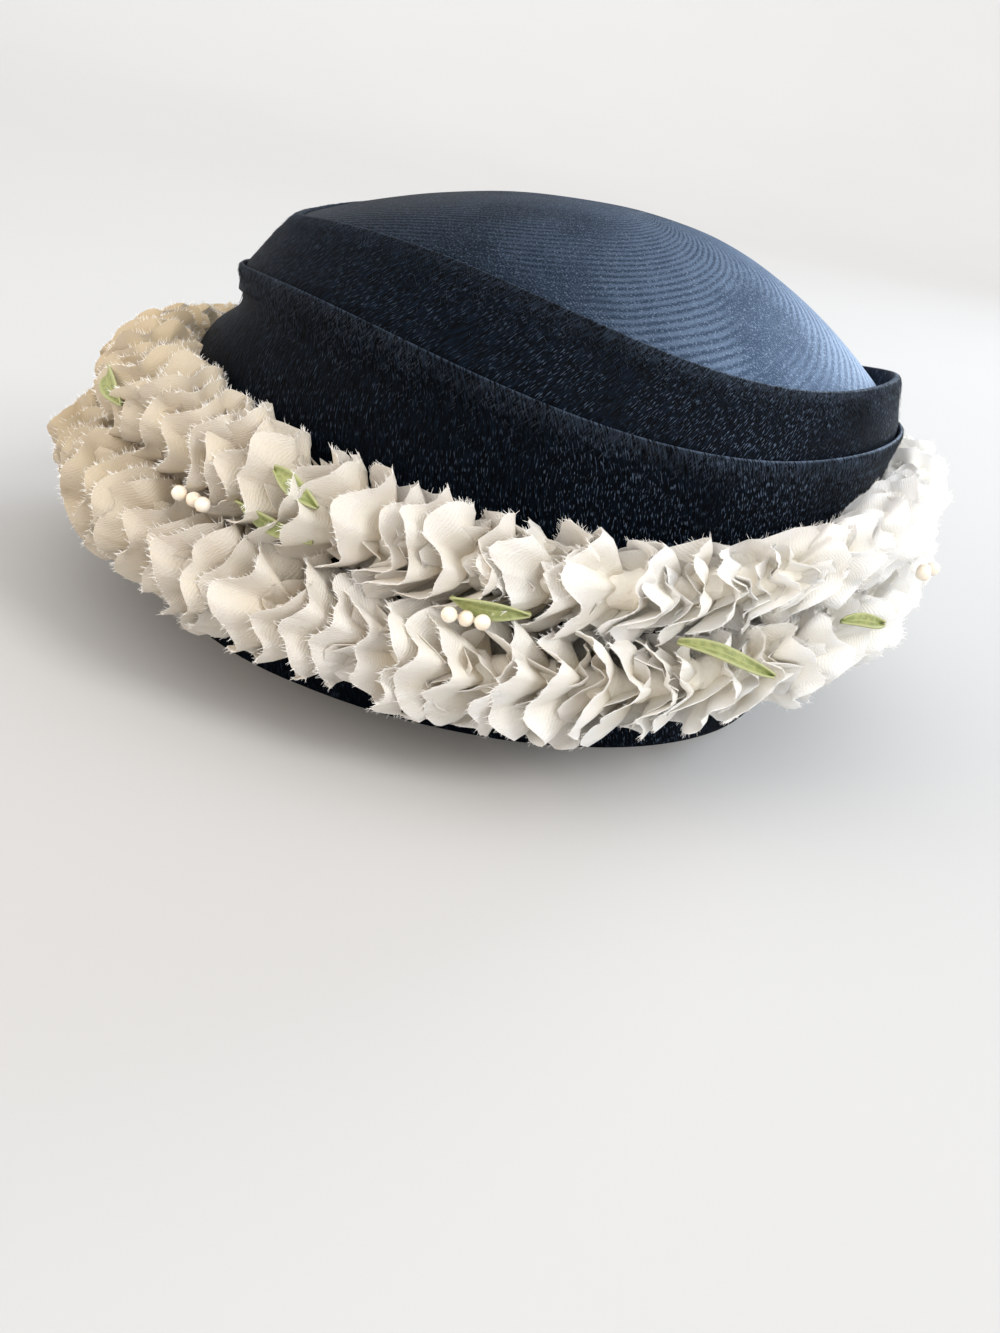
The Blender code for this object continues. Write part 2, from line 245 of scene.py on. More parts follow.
@dataclass(frozen=True)
class PileCloth:
    """Dark cloth with a short slanting pile, with painted glints and painted highlights that are
    stronger towards the side the key light falls on.
    """

    name: str
    slant: float
    ground: tuple = (0.0005, 0.0009, 0.0016)
    pile: tuple = (0.0020, 0.0052, 0.0110)
    # Colour of the painted glints and of the painted highlights along the fold.
    glint: tuple = (0.120, 0.165, 0.245)
    # Painted highlight: a thin light line within this distance of the fold's top.
    fold_highlight_height: float = 0.9 * MM
    streak_width: float = 0.45 * MM
    streak_length: float = 4.5 * MM
    sheen: float = 0.008
    # Painted highlight: the pile lightens over this height below the fold's top.
    fold_glow_height: float = 8 * MM
    patch_scale: float = 55.0
    # Painted light: over this range of X the glints and fold highlights grow from least_caught to
    # full strength, towards the side the key light falls on.
    catches_light: tuple = (-0.03, 0.10)
    least_caught: float = 0.25
    relief: float = 0.35 * MM

    def build(self) -> bpy.types.Material:
        """Make the material; its streaks lie along the cloth's own map.

        Returns:
            The material.
        """
        board = NodeBoard(self.name)
        cloth = board.chart("cloth")
        turned = board.mapped(cloth, "Rotation", (0.0, 0.0, self.slant))
        across, along = 1 / self.streak_width, 1 / self.streak_length
        streak = board.noise(board.mapped(turned, "Scale", (across, along, 1.0)), 1.0, 3.0)
        short = board.mapped(turned, "Scale", (1.5 * across, 2.2 * along, 1.0))
        fleck = board.noise(short, 1.0, 1.0)
        place = board.place()
        patch = board.noise(place, self.patch_scale)
        height = board.axis(cloth, "Y")
        # Painted highlight: lighter streaks towards the fold's top.
        fold_glow = board.grey(height, -self.fold_glow_height, 0.0) * board.grey(streak, 0.42, 0.66)
        # Painted light: the glints and highlights below grow towards +X, where the key light
        # falls.
        caught = board.grey(board.axis(place, "X"), *self.catches_light)
        caught = caught * (1 - self.least_caught) + self.least_caught
        # Painted glints: short bright specks in patches.
        glint = board.grey(fleck, 0.58, 0.70) * board.grey(patch, 0.30, 0.60) * caught
        tone = board.mix(board.grey(streak, 0.35, 0.75), self.ground, self.pile)
        tone = board.mix(glint * 0.8, tone, self.glint)
        tone = board.mix(fold_glow * caught * 0.3, tone, self.glint)
        # Painted highlight: a thin light line along the fold's top.
        edge = board.grey(height.size(), self.fold_highlight_height, 0.0)
        tone = board.mix(edge * caught * board.grey(streak, 0.35, 0.60) * 0.8, tone, self.glint)
        return board.surface(
            {
                "Base Color": tone,
                "Roughness": 0.62 - 0.22 * streak,
                "Specular IOR Level": 0.03,
                "Sheen Weight": self.sheen,
                "Sheen Roughness": 0.35,
                "Sheen Tint": (0.45, 0.58, 0.95, 1.0),
            },
            streak + 0.6 * fleck,
            self.relief,
        )


@dataclass(frozen=True)
class SpiralCloth:
    """Silky dark cloth of the tip, whose threads spiral out from the apex and cross; painted light
    makes it lighter and bluer towards the side the key light falls on, with fine painted sparkles.
    """

    name: str = "tip_silk"
    spirals: float = 106.0
    spiral_pitch: float = 2.1 * MM
    cross_spirals: float = 380.0
    ground: tuple = (0.002, 0.004, 0.007)
    thread: tuple = (0.014, 0.021, 0.034)
    # Colour of the painted glints, fine bright specks.
    sparkle: tuple = (0.060, 0.088, 0.135)
    # Painted light: lighter, bluer colours that take over towards +X, the side the key light falls
    # on.
    lit_ground: tuple = (0.085, 0.138, 0.240)
    lit_thread: tuple = (0.245, 0.355, 0.550)
    lit_sparkle: tuple = (0.50, 0.64, 0.85)
    lit_side_from_to: tuple = (-0.05, 0.13)
    drift_scale: float = 60.0
    fine_scale: float = 2200.0
    patch_scale: float = 130.0
    broad_scale: float = 24.0
    relief: float = 0.16 * MM

    def build(self) -> bpy.types.Material:
        """Make the material; the cloth's map is the share round the tip and metres out.

        Returns:
            The material.
        """
        board = NodeBoard(self.name)
        cloth = board.chart("cloth")
        turn, out = board.axis(cloth, "X"), board.axis(cloth, "Y")
        place = board.place()
        drift = board.noise(place, self.drift_scale)
        climb = TURN / self.spiral_pitch / math.sqrt(2.0)
        rows = (turn * (TURN * self.spirals) + out * climb + drift * 5.0).sine() * 0.5 + 0.5
        crossing = turn * (TURN * self.cross_spirals) - out * (climb * 2.6) + drift * 3.0
        bead = crossing.sine() * 0.5 + 0.5
        fine = board.noise(place, self.fine_scale)
        patch = board.noise(place, self.patch_scale, 3.0)
        broad = board.noise(place, self.broad_scale, 1.0)
        rows = rows * board.grey(broad, 0.32, 0.52)
        weave = rows * 0.50 + bead * 0.12 + fine * 1.10 + patch * 0.40
        # Painted light: the cloth turns lighter and bluer towards +X, where the key light falls.
        lit_side = board.grey(board.axis(place, "X"), *self.lit_side_from_to)
        lit_side = lit_side * (0.5 + 0.5 * lit_side)
        ground = board.mix(lit_side, self.ground, self.lit_ground)
        thread = board.mix(lit_side, self.thread, self.lit_thread)
        sparkle = board.mix(lit_side, self.sparkle, self.lit_sparkle)
        tone = board.mix(board.grey(weave, 0.66, 1.34), ground, thread)
        # Painted glints: fine specks lightened to the sparkle colour.
        tone = board.mix(board.grey(fine, 0.57, 0.70) * 0.6, tone, sparkle)
        return board.surface(
            {
                "Base Color": tone,
                "Roughness": 0.60 - 0.20 * fine,
                "Specular IOR Level": 0.03,
                "Specular Tint": (0.50, 0.72, 1.0, 1.0),
            },
            rows * 0.5 + bead * 0.3 + fine,
            self.relief,
        )


@dataclass(frozen=True)
class PetalSatin:
    """Ivory cloth of the blossoms: warm in the heart, partly painted shade; white along the frayed
    edge, partly a painted highlight; with painted shade towards the front.
    """

    name: str = "petal_satin"
    # The cream is the cloth's own; the deeper warm heart is partly painted shade, and the white
    # edge partly a painted rim highlight.
    heart: tuple = (0.83, 0.74, 0.56)
    middle: tuple = (0.95, 0.91, 0.815)
    face: tuple = (0.97, 0.95, 0.90)
    edge: tuple = (0.985, 0.982, 0.97)
    # Painted shade: the colour that darkens and warms the blossoms towards the front of the hat,
    # the side away from the key light.
    shade_colour: tuple = (0.50, 0.39, 0.25)
    places: tuple = (0.18, 0.50, 0.80, 0.96)
    glow_depth: float = 1.6 * MM
    relief: float = 0.22 * MM

    def build(self) -> bpy.types.Material:
        """Make the material; the petal's map is the flat disc that it was cut as.

        Returns:
            The material.
        """
        board = NodeBoard(self.name)
        petal = board.chart("petal")
        out = board.add("ShaderNodeVectorMath", {"operation": "LENGTH"}, {0: petal}, "Value")
        mottle = board.noise(board.place(), 160.0, 3.0)
        weave = board.noise(petal, 46.0)
        ribs = board.add(
            "ShaderNodeTexWave",
            {"bands_direction": "DIAGONAL"},
            {"Vector": petal, "Scale": 13.0, "Distortion": 2.5, "Detail": 2.0},
            1,
        )
        spread = out + 0.35 * (mottle - 0.5) + 0.22 * (board.own("tint") - 0.5)
        colours = (self.heart, self.middle, self.face, self.edge)
        stops = tuple(zip(self.places, colours))
        # From the heart out to the edge: painted shade in the heart and a painted rim highlight at
        # the edge, over the cloth's cream.
        tone = board.add("ShaderNodeValToRGB", {"stops": stops}, {0: spread})
        # Painted shade: multiplied in towards the front of the hat, the side away from the key
        # light.
        tone = board.add(
            "ShaderNodeMix",
            {"data_type": "RGBA", "blend_type": "MULTIPLY"},
            {0: board.own("age"), 6: tone, 7: self.shade_colour},
            2,
        )
        return board.surface(
            {
                "Base Color": tone,
                "Roughness": 0.62 - 0.15 * weave,
                "Specular IOR Level": 0.35,
                "Subsurface Weight": 0.3,
                "Subsurface Radius": (1.0, 0.80, 0.60),
                "Subsurface Scale": self.glow_depth,
                "Sheen Weight": 0.25,
                "Sheen Roughness": 0.4,
            },
            weave * 0.8 + ribs * 0.25 + mottle * 0.5,
            self.relief,
        )


@dataclass(frozen=True)
class PlainCloth:
    """A plain woven cloth or thread in one tone with soft variation."""

    name: str
    dark: tuple
    light: tuple
    roughness: float = 0.7
    scale: float = 900.0

    def build(self) -> bpy.types.Material:
        """Make the material.

        Returns:
            The material.
        """
        board = NodeBoard(self.name)
        place = board.place()
        grain = board.noise(place, self.scale)
        broad = board.noise(place, self.scale / 8)
        tone = board.mix(board.grey(grain * 0.4 + broad * 0.6, 0.3, 0.7), self.dark, self.light)
        return board.surface(
            {"Base Color": tone, "Roughness": self.roughness, "Specular IOR Level": 0.3},
            grain + broad,
            0.15 * MM,
        )


@dataclass(frozen=True)
class PearlGlaze:
    """Warm pearly glaze with a clear gloss."""

    name: str = "pearl_lustre"

    def build(self) -> bpy.types.Material:
        """Make the material.

        Returns:
            The material.
        """
        board = NodeBoard(self.name)
        cloud = board.noise(board.place(), 420.0)
        tone = board.mix(board.grey(cloud, 0.3, 0.7), (0.86, 0.74, 0.58), (0.94, 0.87, 0.76))
        return board.surface(
            {
                "Base Color": tone,
                "Roughness": 0.24 + 0.1 * cloud,
                "Specular IOR Level": 0.6,
                "Coat Weight": 0.5,
                "Coat Roughness": 0.08,
            }
        )


@dataclass(frozen=True)
class LeafCloth:
    """Green cloth of the leaves, paler along the rib and edges."""

    name: str = "leaf_green"

    def build(self) -> bpy.types.Material:
        """Make the material; the leaf's map runs across and along it.

        Returns:
            The material.
        """
        board = NodeBoard(self.name)
        across = (board.axis(board.chart("cloth"), "X") - 0.5).size() * 2.0
        grain = board.noise(board.place(), 700.0, 3.0)
        tone = board.mix(board.grey(grain, 0.3, 0.7), (0.20, 0.23, 0.075), (0.32, 0.355, 0.13))
        tone = board.mix(board.grey(across, 0.55, 1.0), tone, (0.42, 0.45, 0.22))
        tone = board.mix(board.grey(across, 0.16, 0.0), tone, (0.34, 0.37, 0.15))
        return board.surface(
            {
                "Base Color": tone,
                "Roughness": 0.58,
                "Subsurface Weight": 0.1,
                "Subsurface Scale": 1.0 * MM,
            },
            grain,
            0.12 * MM,
        )


@dataclass(frozen=True)
class StudioPaper:
    """Pale matt paper of the floor and its sweep."""

    name: str = "studio_paper"

    def build(self) -> bpy.types.Material:
        """Make the material.

        Returns:
            The material.
        """
        board = NodeBoard(self.name)
        grain = board.noise(board.place(), 3.0)
        tone = board.mix(grain, (0.51, 0.51, 0.51), (0.53, 0.53, 0.53))
        return board.surface({"Base Color": tone, "Roughness": 0.9, "Specular IOR Level": 0.1})


# Solid of the lower band, columns: share of the fold's height, share of the way from the rim's
# ellipse to the fold's at the front, the same at the back
BAND_LEAN = (
    (0.00, 0.00, 0.00),
    (0.05, 0.00, 0.00),
    (0.40, 0.03, 0.38),
    (0.62, 0.16, 0.64),
    (0.80, 0.62, 0.84),
    (0.90, 1.00, 0.95),
    (0.95, 1.00, 0.98),
    (0.98, 1.00, 1.00),
    (1.00, 1.00, 1.00),
)

# Cloth of the lower band, columns: share of the fold's height, share of the way from the rim to
# the fold at the front, the same at the back, millimetres inwards at the front, the same behind
BAND_CLOTH = (
    (0.001, 0.00, 0.00, 0.0, 0.0),
    (0.050, 0.00, 0.00, 0.0, 0.0),
    (0.400, 0.03, 0.38, 0.0, 0.0),
    (0.620, 0.16, 0.64, 0.0, 0.0),
    (0.800, 0.62, 0.84, 0.0, 0.0),
    (0.880, 0.97, 0.94, 2.2, 0.1),
    (0.915, 1.00, 0.96, 2.3, 0.2),
    (0.950, 1.00, 0.98, 1.0, 0.1),
    (0.980, 1.00, 1.00, 0.1, 0.0),
    (0.995, 1.00, 1.00, 0.2, 0.1),
    (1.000, 1.00, 1.00, 0.6, 0.6),
    (0.996, 1.00, 1.00, 1.1, 1.1),
)

# Cloth of the upper band, columns: share of the way up from the fold to the lip, share of the
# way from the fold's inner ellipse to the lip's, millimetres inwards
TIER_CLOTH = (
    (0.00, 0.02, 0.0),
    (0.30, 0.27, 0.0),
    (0.60, 0.55, 0.0),
    (0.85, 0.82, 0.0),
    (0.96, 0.97, 0.0),
    (0.99, 1.00, 0.2),
    (1.00, 1.00, 0.9),
    (0.98, 1.00, 1.5),
)


def row_at(table: Sequence[tuple], share: float) -> tuple:
    """Row of a table at a share, worked out between its rows.

    Args:
        table: Rows whose first column is a share.
        share: The share.

    Returns:
        The row.
    """
    for below, above in zip(table, table[1:]):
        if below[0] <= share <= above[0]:
            part = (share - below[0]) / (above[0] - below[0])
            return tuple(low + part * (high - low) for low, high in zip(below, above))
    return table[0] if share < table[0][0] else table[-1]


@dataclass(frozen=True)
class HatForm:
    """Sizes that every piece is placed by, and the forms that follow from them."""

    centre_x: float
    gap: float = 0.4 * MM
    rim_length: float = 195 * MM
    rim_depth: float = 162 * MM
    fold_length: float = 195 * MM
    fold_depth: float = 163 * MM
    fold_shift: float = 14.5 * MM
    fold_height: float = 91 * MM
    fold_tilt: float = 4.2 * MM
    fold_sway: float = 2.0 * MM
    fold_wave: float = 3 * MM
    cloth_fold: float = 1.3 * MM
    fold_tuck: float = 7 * MM
    tier_length: float = 176.5 * MM
    tier_depth: float = 123.5 * MM
    tier_shift: float = 18.7 * MM
    tier_height: float = 106.9 * MM
    tier_tilt: float = 5.3 * MM
    tier_sway: float = 0.3 * MM
    tier_wave: float = 3.7 * MM
    tier_foot: float = 9 * MM
    tier_drop: float = 0.5 * MM
    far_lip_drop: float = 4.8 * MM
    far_lip_degrees: float = 30.0
    lip_tuck: float = 7 * MM
    apex_height: float = 129 * MM
    apex_shift: float = 25 * MM
    tip_seat: float = 0.5 * MM
    tip_back_drop: float = 7 * MM
    tip_roundness: float = 2.0
    row_sag: float = 8.5 * MM
    row_wave: float = 2 * MM
    row_overlap: float = 4.5 * MM
    valley_wander: float = 5.2 * MM
    valley_turns: float = 9.0
    valley_grain: float = 7 * MM
    far_lip_power: int = 4
    notch_power: int = 20

    def ellipse(self, theta: float, shift: float, length: float, depth: float) -> Vector:
        """Point of an ellipse seen from above, whose middle is shifted back."""
        x = self.centre_x + shift + 0.5 * length * math.cos(theta)
        return Vector((x, 0.5 * depth * math.sin(theta), 0.0))

    def outward(self, theta: float) -> Vector:
        """Horizontal direction straight out of the rim at an angle."""
        x, y = math.cos(theta) / self.rim_length, math.sin(theta) / self.rim_depth
        return Vector((x, y, 0.0)).normalized()

    @staticmethod
    def front_share(theta: float) -> float:
        """Share of a front value that holds at an angle."""
        return 0.5 - 0.5 * math.cos(theta)

    def fold_top(self, theta: float) -> float:
        """Height of the lower band's fold at an angle."""
        tilt = self.fold_tilt * math.cos(theta) + self.fold_sway * math.sin(3 * theta)
        return self.fold_height - tilt + self.fold_wave * math.cos(3 * theta)

    def lip_top(self, theta: float) -> float:
        """Height of the upper band's lip at an angle.

        Args:
            theta: Angle from the back of the hat.

        Returns:
            The height.
        """
        tilt = self.tier_tilt * math.cos(theta) + self.tier_sway * math.sin(3 * theta)
        beside = max(0.0, math.cos(theta - math.radians(self.far_lip_degrees)))
        tilt += self.far_lip_drop * beside**self.far_lip_power
        return self.tier_height - tilt + self.tier_wave * math.cos(3 * theta)

    def band_point(self, theta: float, lean: float, height: float, inset: float = 0.0) -> Vector:
        """Point of the lower band's outside.

        Args:
            theta: Angle from the back of the hat.
            lean: Share of the way from the rim to the fold.
            height: Height above the floor.
            inset: How far inside the outside it is.

        Returns:
            The point.
        """
        rim = self.ellipse(theta, 0.0, self.rim_length, self.rim_depth)
        fold = self.ellipse(theta, self.fold_shift, self.fold_length, self.fold_depth)
        point = rim.lerp(fold, lean) - self.outward(theta) * inset
        point.z = height
        return point

    def band_lean(self, theta: float, height: float) -> float:
        """Share of the way from the rim to the fold at a height.

        Args:
            theta: Angle from the back of the hat.
            height: Height above the floor.

        Returns:
            The share.
        """
        front = self.front_share(theta)
        _, front_lean, back_lean = row_at(BAND_LEAN, height / self.fold_top(theta))
        return front * front_lean + (1 - front) * back_lean

    def beside_band(self, theta: float, out: float, height: float) -> Vector:
        """Point a distance out from the lower band's side at a height."""
        return self.band_point(theta, self.band_lean(theta, height), height, -out)

    def valley_shift(self, theta: float, out: float) -> float:
        """How far the valley between the rows wanders upwards, a distance out along it."""
        around = Vector((math.cos(theta), math.sin(theta), 0.0)) * self.valley_turns
        return self.valley_wander * noise.noise(around + Vector((0, 0, out / self.valley_grain)))

    def lip_point(self, theta: float, inset: float, height: float) -> Vector:
        """Point a distance inside the ellipse of the upper band's lip."""
        lip = self.ellipse(theta, self.tier_shift, self.tier_length, self.tier_depth)
        return lip - self.outward(theta) * inset + Vector((0.0, 0.0, height))

    def band_side(self, theta: float, row: tuple) -> Vector:
        """Point of the lower band's cloth for a row of its table.

        Args:
            theta: Angle from the back of the hat.
            row: Row of the table.

        Returns:
            The point.
        """
        share, front_lean, back_lean, front_in, back_in = row
        front = self.front_share(theta)
        recess = front**self.notch_power
        lean = front * front_lean + (1 - front) * back_lean
        inward = (recess * front_in + (1 - recess) * back_in) * MM
        return self.band_point(theta, lean, share * self.fold_top(theta), inward)

    def tier_side(self, theta: float, row: tuple) -> Vector:
        """Point of the upper band's cloth for a row of its table.

        Args:
            theta: Angle from the back of the hat.
            row: Row of the table.

        Returns:
            The point.
        """
        share, lean, inward = row
        foot = self.fold_top(theta) - self.tier_drop
        start = self.band_point(theta, 1.0, foot, self.cloth_fold + self.gap)
        lip = self.lip_point(theta, 0.0, self.lip_top(theta))
        point = start.lerp(lip, lean) - self.outward(theta) * inward * MM
        point.z = start.z + share * (lip.z - start.z)
        return point

    def band_section(self, theta: float) -> list[Vector]:
        """Points of the lower band's cloth at an angle, from the rim to inside the fold."""
        end = self.band_point(theta, 1.0, self.fold_top(theta) - self.fold_tuck, self.cloth_fold)
        return [*(self.band_side(theta, row) for row in BAND_CLOTH), end]

    def tier_section(self, theta: float) -> list[Vector]:
        """Points of the upper band's cloth at an angle, from its foot to inside its lip.

        Args:
            theta: Angle from the back of the hat.

        Returns:
            The points.
        """
        foot = self.fold_top(theta) - self.tier_foot
        start = self.band_point(theta, 1.0, foot, self.cloth_fold + self.gap)
        points = [self.tier_side(theta, row) for row in TIER_CLOTH]
        tuck = self.lip_top(theta) - self.lip_tuck
        return [start, *points, self.lip_point(theta, self.cloth_fold, tuck)]

    def under_fold(self, theta: float, depth: float) -> Vector:
        """Point of the lower band's outside at a depth under its fold."""
        return self.band_side(theta, row_at(BAND_CLOTH, 1 - depth / self.fold_top(theta)))

    def under_lip(self, theta: float, depth: float) -> Vector:
        """Point of the upper band's outside at a depth under its lip."""
        height = self.lip_top(theta) - self.fold_top(theta) + self.tier_drop
        return self.tier_side(theta, row_at(TIER_CLOTH, 1 - depth / height))

    def tip_point(self, theta: float, out: float) -> Vector:
        """Point of the domed tip.

        Args:
            theta: Angle from the back of the hat.
            out: Share of the way from the apex to the seat inside the lip.

        Returns:
            The point.
        """
        apex = Vector((self.centre_x + self.apex_shift, 0.0, self.apex_height))
        drop = self.tip_seat + self.tip_back_drop * max(0.0, math.cos(theta)) ** 3
        seat = self.lip_point(theta, self.cloth_fold + self.gap, self.lip_top(theta) - drop)
        point = apex.lerp(seat, out)
        point.z = apex.z - (apex.z - seat.z) * out**self.tip_roundness
        return point


@dataclass(eq=False)
class RowForm:
    """Sizes of one row of the wreath, and the place of everything threaded on it."""

    hat: HatForm
    row: Row
    height: float
    rise: float
    standoff: float
    front_standoff: float
    back_standoff: float
    radius: float
    other: "RowForm | None" = None
    press_softness: float = 2.5 * MM
    band_softness: float = 1.0 * MM
    step: float = 0.01

    def place(self, theta: float) -> tuple[float, float]:
        """Height and distance out from the band of the row's centre line at an angle.

        Args:
            theta: Angle from the back of the hat.

        Returns:
            The height and the distance.
        """
        hat = self.hat
        lift = hat.row_sag * math.cos(2 * theta) + hat.row_wave * math.cos(3 * theta)
        across = math.sin(theta) ** 2
        end = self.front_standoff if math.cos(theta) < 0 else self.back_standoff
        standoff = self.standoff * across + end * (1 - across)
        return self.height + lift + self.rise * math.cos(theta), standoff

    def point(self, theta: float, out: float, up: float) -> Vector:
        """Point of the row's section, out and up from its centre line."""
        height, standoff = self.place(theta)
        return self.hat.beside_band(theta, standoff + out, height + up)

    def stride(self, theta: float) -> float:
        """Length along the centre line for each radian at an angle."""
        ends = [self.point(theta + step, 0.0, 0.0) for step in (-self.step, self.step)]
        return (ends[1] - ends[0]).length / (2 * self.step)

    def even_angles(self, count: int) -> list[float]:
        """Angles that divide the centre line into equal lengths.

        Args:
            count: How many.

        Returns:
            The angles, starting at the back.
        """
        fine = 720
        lengths = [0.0]
        last = self.point(0.0, 0.0, 0.0)
        for index in range(1, fine + 1):
            here = self.point(TURN * index / fine, 0.0, 0.0)
            lengths.append(lengths[-1] + (here - last).length)
            last = here
        angles = []
        index = 0
        for number in range(count):
            goal = lengths[-1] * number / count
            while lengths[index + 1] < goal:
                index += 1
            part = (goal - lengths[index]) / (lengths[index + 1] - lengths[index])
            angles.append(TURN * (index + part) / fine)
        return angles

    def pressed(self, theta: float, out: float, up: float) -> tuple[float, float]:
        """Press a place of the section clear of the band and back from the other row.

        Args:
            theta: Angle from the back of the hat.
            out: Distance from the centre line away from the band.
            up: Distance from the centre line upwards.

        Returns:
            The two distances after pressing.
        """
        height, standoff = self.place(theta)
        other_height, other_standoff = self.other.place(theta)
        across = Vector((other_standoff - standoff, other_height - height))
        limit = 0.5 * (across.length + self.hat.row_overlap)
        across.normalize()
        spot = Vector((out, up))
        sign = 1.0 if self.row is Row.LOWER else -1.0
        outwards = spot.dot(Vector((across.y, -across.x))) * sign
        limit += sign * self.hat.valley_shift(theta, outwards)
        past = spot.dot(across) - limit
        spot -= across * soft_excess(past, self.press_softness)
        least = self.hat.gap - standoff
        spot.x += soft_excess(least - spot.x, self.band_softness)
        return spot.x, spot.y


def soft_excess(past: float, softness: float) -> float:
    """How far to push back something that is past a limit, easing in before it.

    Args:
        past: Distance past the limit, negative before it.
        softness: Distance over which the push eases in.

    Returns:
        The push.
    """
    if past < -softness:
        return 0.0
    if past > softness:
        return past
    return (past + softness) ** 2 / (4 * softness)


def curve_through(points: Sequence[Vector], along: float) -> Vector:
    """Point of a smooth curve through points, with rounder bends where they are close.

    Args:
        points: The points that the curve passes.
        along: Place on it, counted in points.

    Returns:
        The point.
    """
    index = min(int(along), len(points) - 2)
    share = along - index
    second, third = points[index], points[index + 1]
    first = points[index - 1] if index else second * 2 - third
    fourth = points[index + 2] if index + 2 < len(points) else third * 2 - second
    knots = [0.0]
    for start, end in ((first, second), (second, third), (third, fourth)):
        knots.append(knots[-1] + math.sqrt(max((end - start).length, 1e-9)))
    place = knots[1] + share * (knots[2] - knots[1])

    def between(start: Vector, end: Vector, low: int, high: int) -> Vector:
        """Point between two others by their knots."""
        return start.lerp(end, (place - knots[low]) / (knots[high] - knots[low]))

    one = between(first, second, 0, 1)
    two = between(second, third, 1, 2)
    three = between(third, fourth, 2, 3)
    return between(between(one, two, 0, 2), between(two, three, 1, 3), 1, 2)


def finished(
    name: str,
    bm: bmesh.types.BMesh,
    material: bpy.types.Material,
    crease: float = 40.0,
    wall: float = 0.0,
) -> bpy.types.Object:
    """Turn a bmesh into a smooth-shaded object with its material.

    Args:
        name: The piece's name.
        bm: Its mesh, which is freed.
        material: Its finish.
        crease: Degrees past which an edge shows as a crease.
        wall: Thickness that a surface gets on its inner side.

    Returns:
        The object.
    """
    mesh = bpy.data.meshes.new(name)
    bm.normal_update()
    bm.to_mesh(mesh)
    bm.free()
    mesh.materials.append(material)
    mesh.shade_smooth()
    mesh.set_sharp_from_angle(angle=math.radians(crease))
    piece = bpy.data.objects.new(name, mesh)
    bpy.context.scene.collection.objects.link(piece)
    if wall:
        modifier = piece.modifiers.new("Wall", "SOLIDIFY")
        modifier.thickness = wall
        modifier.offset = -1.0
    return piece


def weld(bm: bmesh.types.BMesh) -> None:
    """Merge doubles, drop what they flatten and turn the faces one way.

    Args:
        bm: The mesh.
    """
    bmesh.ops.remove_doubles(bm, verts=bm.verts, dist=WELD)
    bmesh.ops.dissolve_degenerate(bm, dist=WELD, edges=bm.edges)
    bmesh.ops.recalc_face_normals(bm, faces=bm.faces)


def sheet_of(
    steps_u: int,
    steps_v: int,
    shape: Callable[[float, float], Vector],
    chart: Callable[[float, float], tuple[float, float]],
) -> bmesh.types.BMesh:
    """Bend a flat grid into a surface and weld where it meets itself.

    Args:
        steps_u: Steps along the grid's first side.
        steps_v: Steps along its second side.
        shape: Place of a point from its two shares.
        chart: Map of a point from its two shares.

    Returns:
        The surface.
    """
    bm = bmesh.new()
    bmesh.ops.create_grid(bm, x_segments=steps_u, y_segments=steps_v, size=0.5)
    layer = bm.loops.layers.uv.new("cloth")
    for face in bm.faces:
        for loop in face.loops:
            loop[layer].uv = chart(loop.vert.co.x + 0.5, loop.vert.co.y + 0.5)
    for vertex in bm.verts:
        vertex.co = shape(vertex.co.x + 0.5, vertex.co.y + 0.5)
    weld(bm)
    return bm


def flat_chart(u: float, v: float) -> tuple[float, float]:
    """Map of a sheet by its own two shares."""
    return u, v


def absorb(whole: bmesh.types.BMesh, part: bmesh.types.BMesh) -> None:
    """Add a mesh to a larger one, and free it.

    Args:
        whole: The larger mesh.
        part: The mesh that it takes.
    """
    made = bpy.data.meshes.new("part")
    part.to_mesh(made)
    part.free()
    whole.from_mesh(made)
    bpy.data.meshes.remove(made)


def add_thread(
    bm: bmesh.types.BMesh, root: Vector, way: Vector, length: float, radii: tuple
) -> None:
    """Add one thin tapering thread.

    Args:
        bm: The mesh that takes it.
        root: Its lower end.
        way: Its direction, with a length of one.
        length: Its length.
        radii: Its radius at the root and at the end.
    """
    turn = way.to_track_quat("Z", "Y").to_matrix().to_4x4()
    bmesh.ops.create_cone(
        bm,
        cap_ends=False,
        segments=3,
        radius1=radii[0],
        radius2=radii[1],
        depth=length,
        matrix=Matrix.Translation(root + way * 0.5 * length) @ turn,
    )


def place_on_hat(piece: bpy.types.Object, slot: str, *nodes: str) -> None:
    """Tie a piece to the hat and report it.

    Args:
        piece: The piece.
        slot: Not used.
        nodes: The CAD nodes that it stands for.
    """
    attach(piece, BODY)
    if nodes:
        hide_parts(*nodes)
    LOG.info("%s: %d faces", piece.name, len(piece.data.polygons))


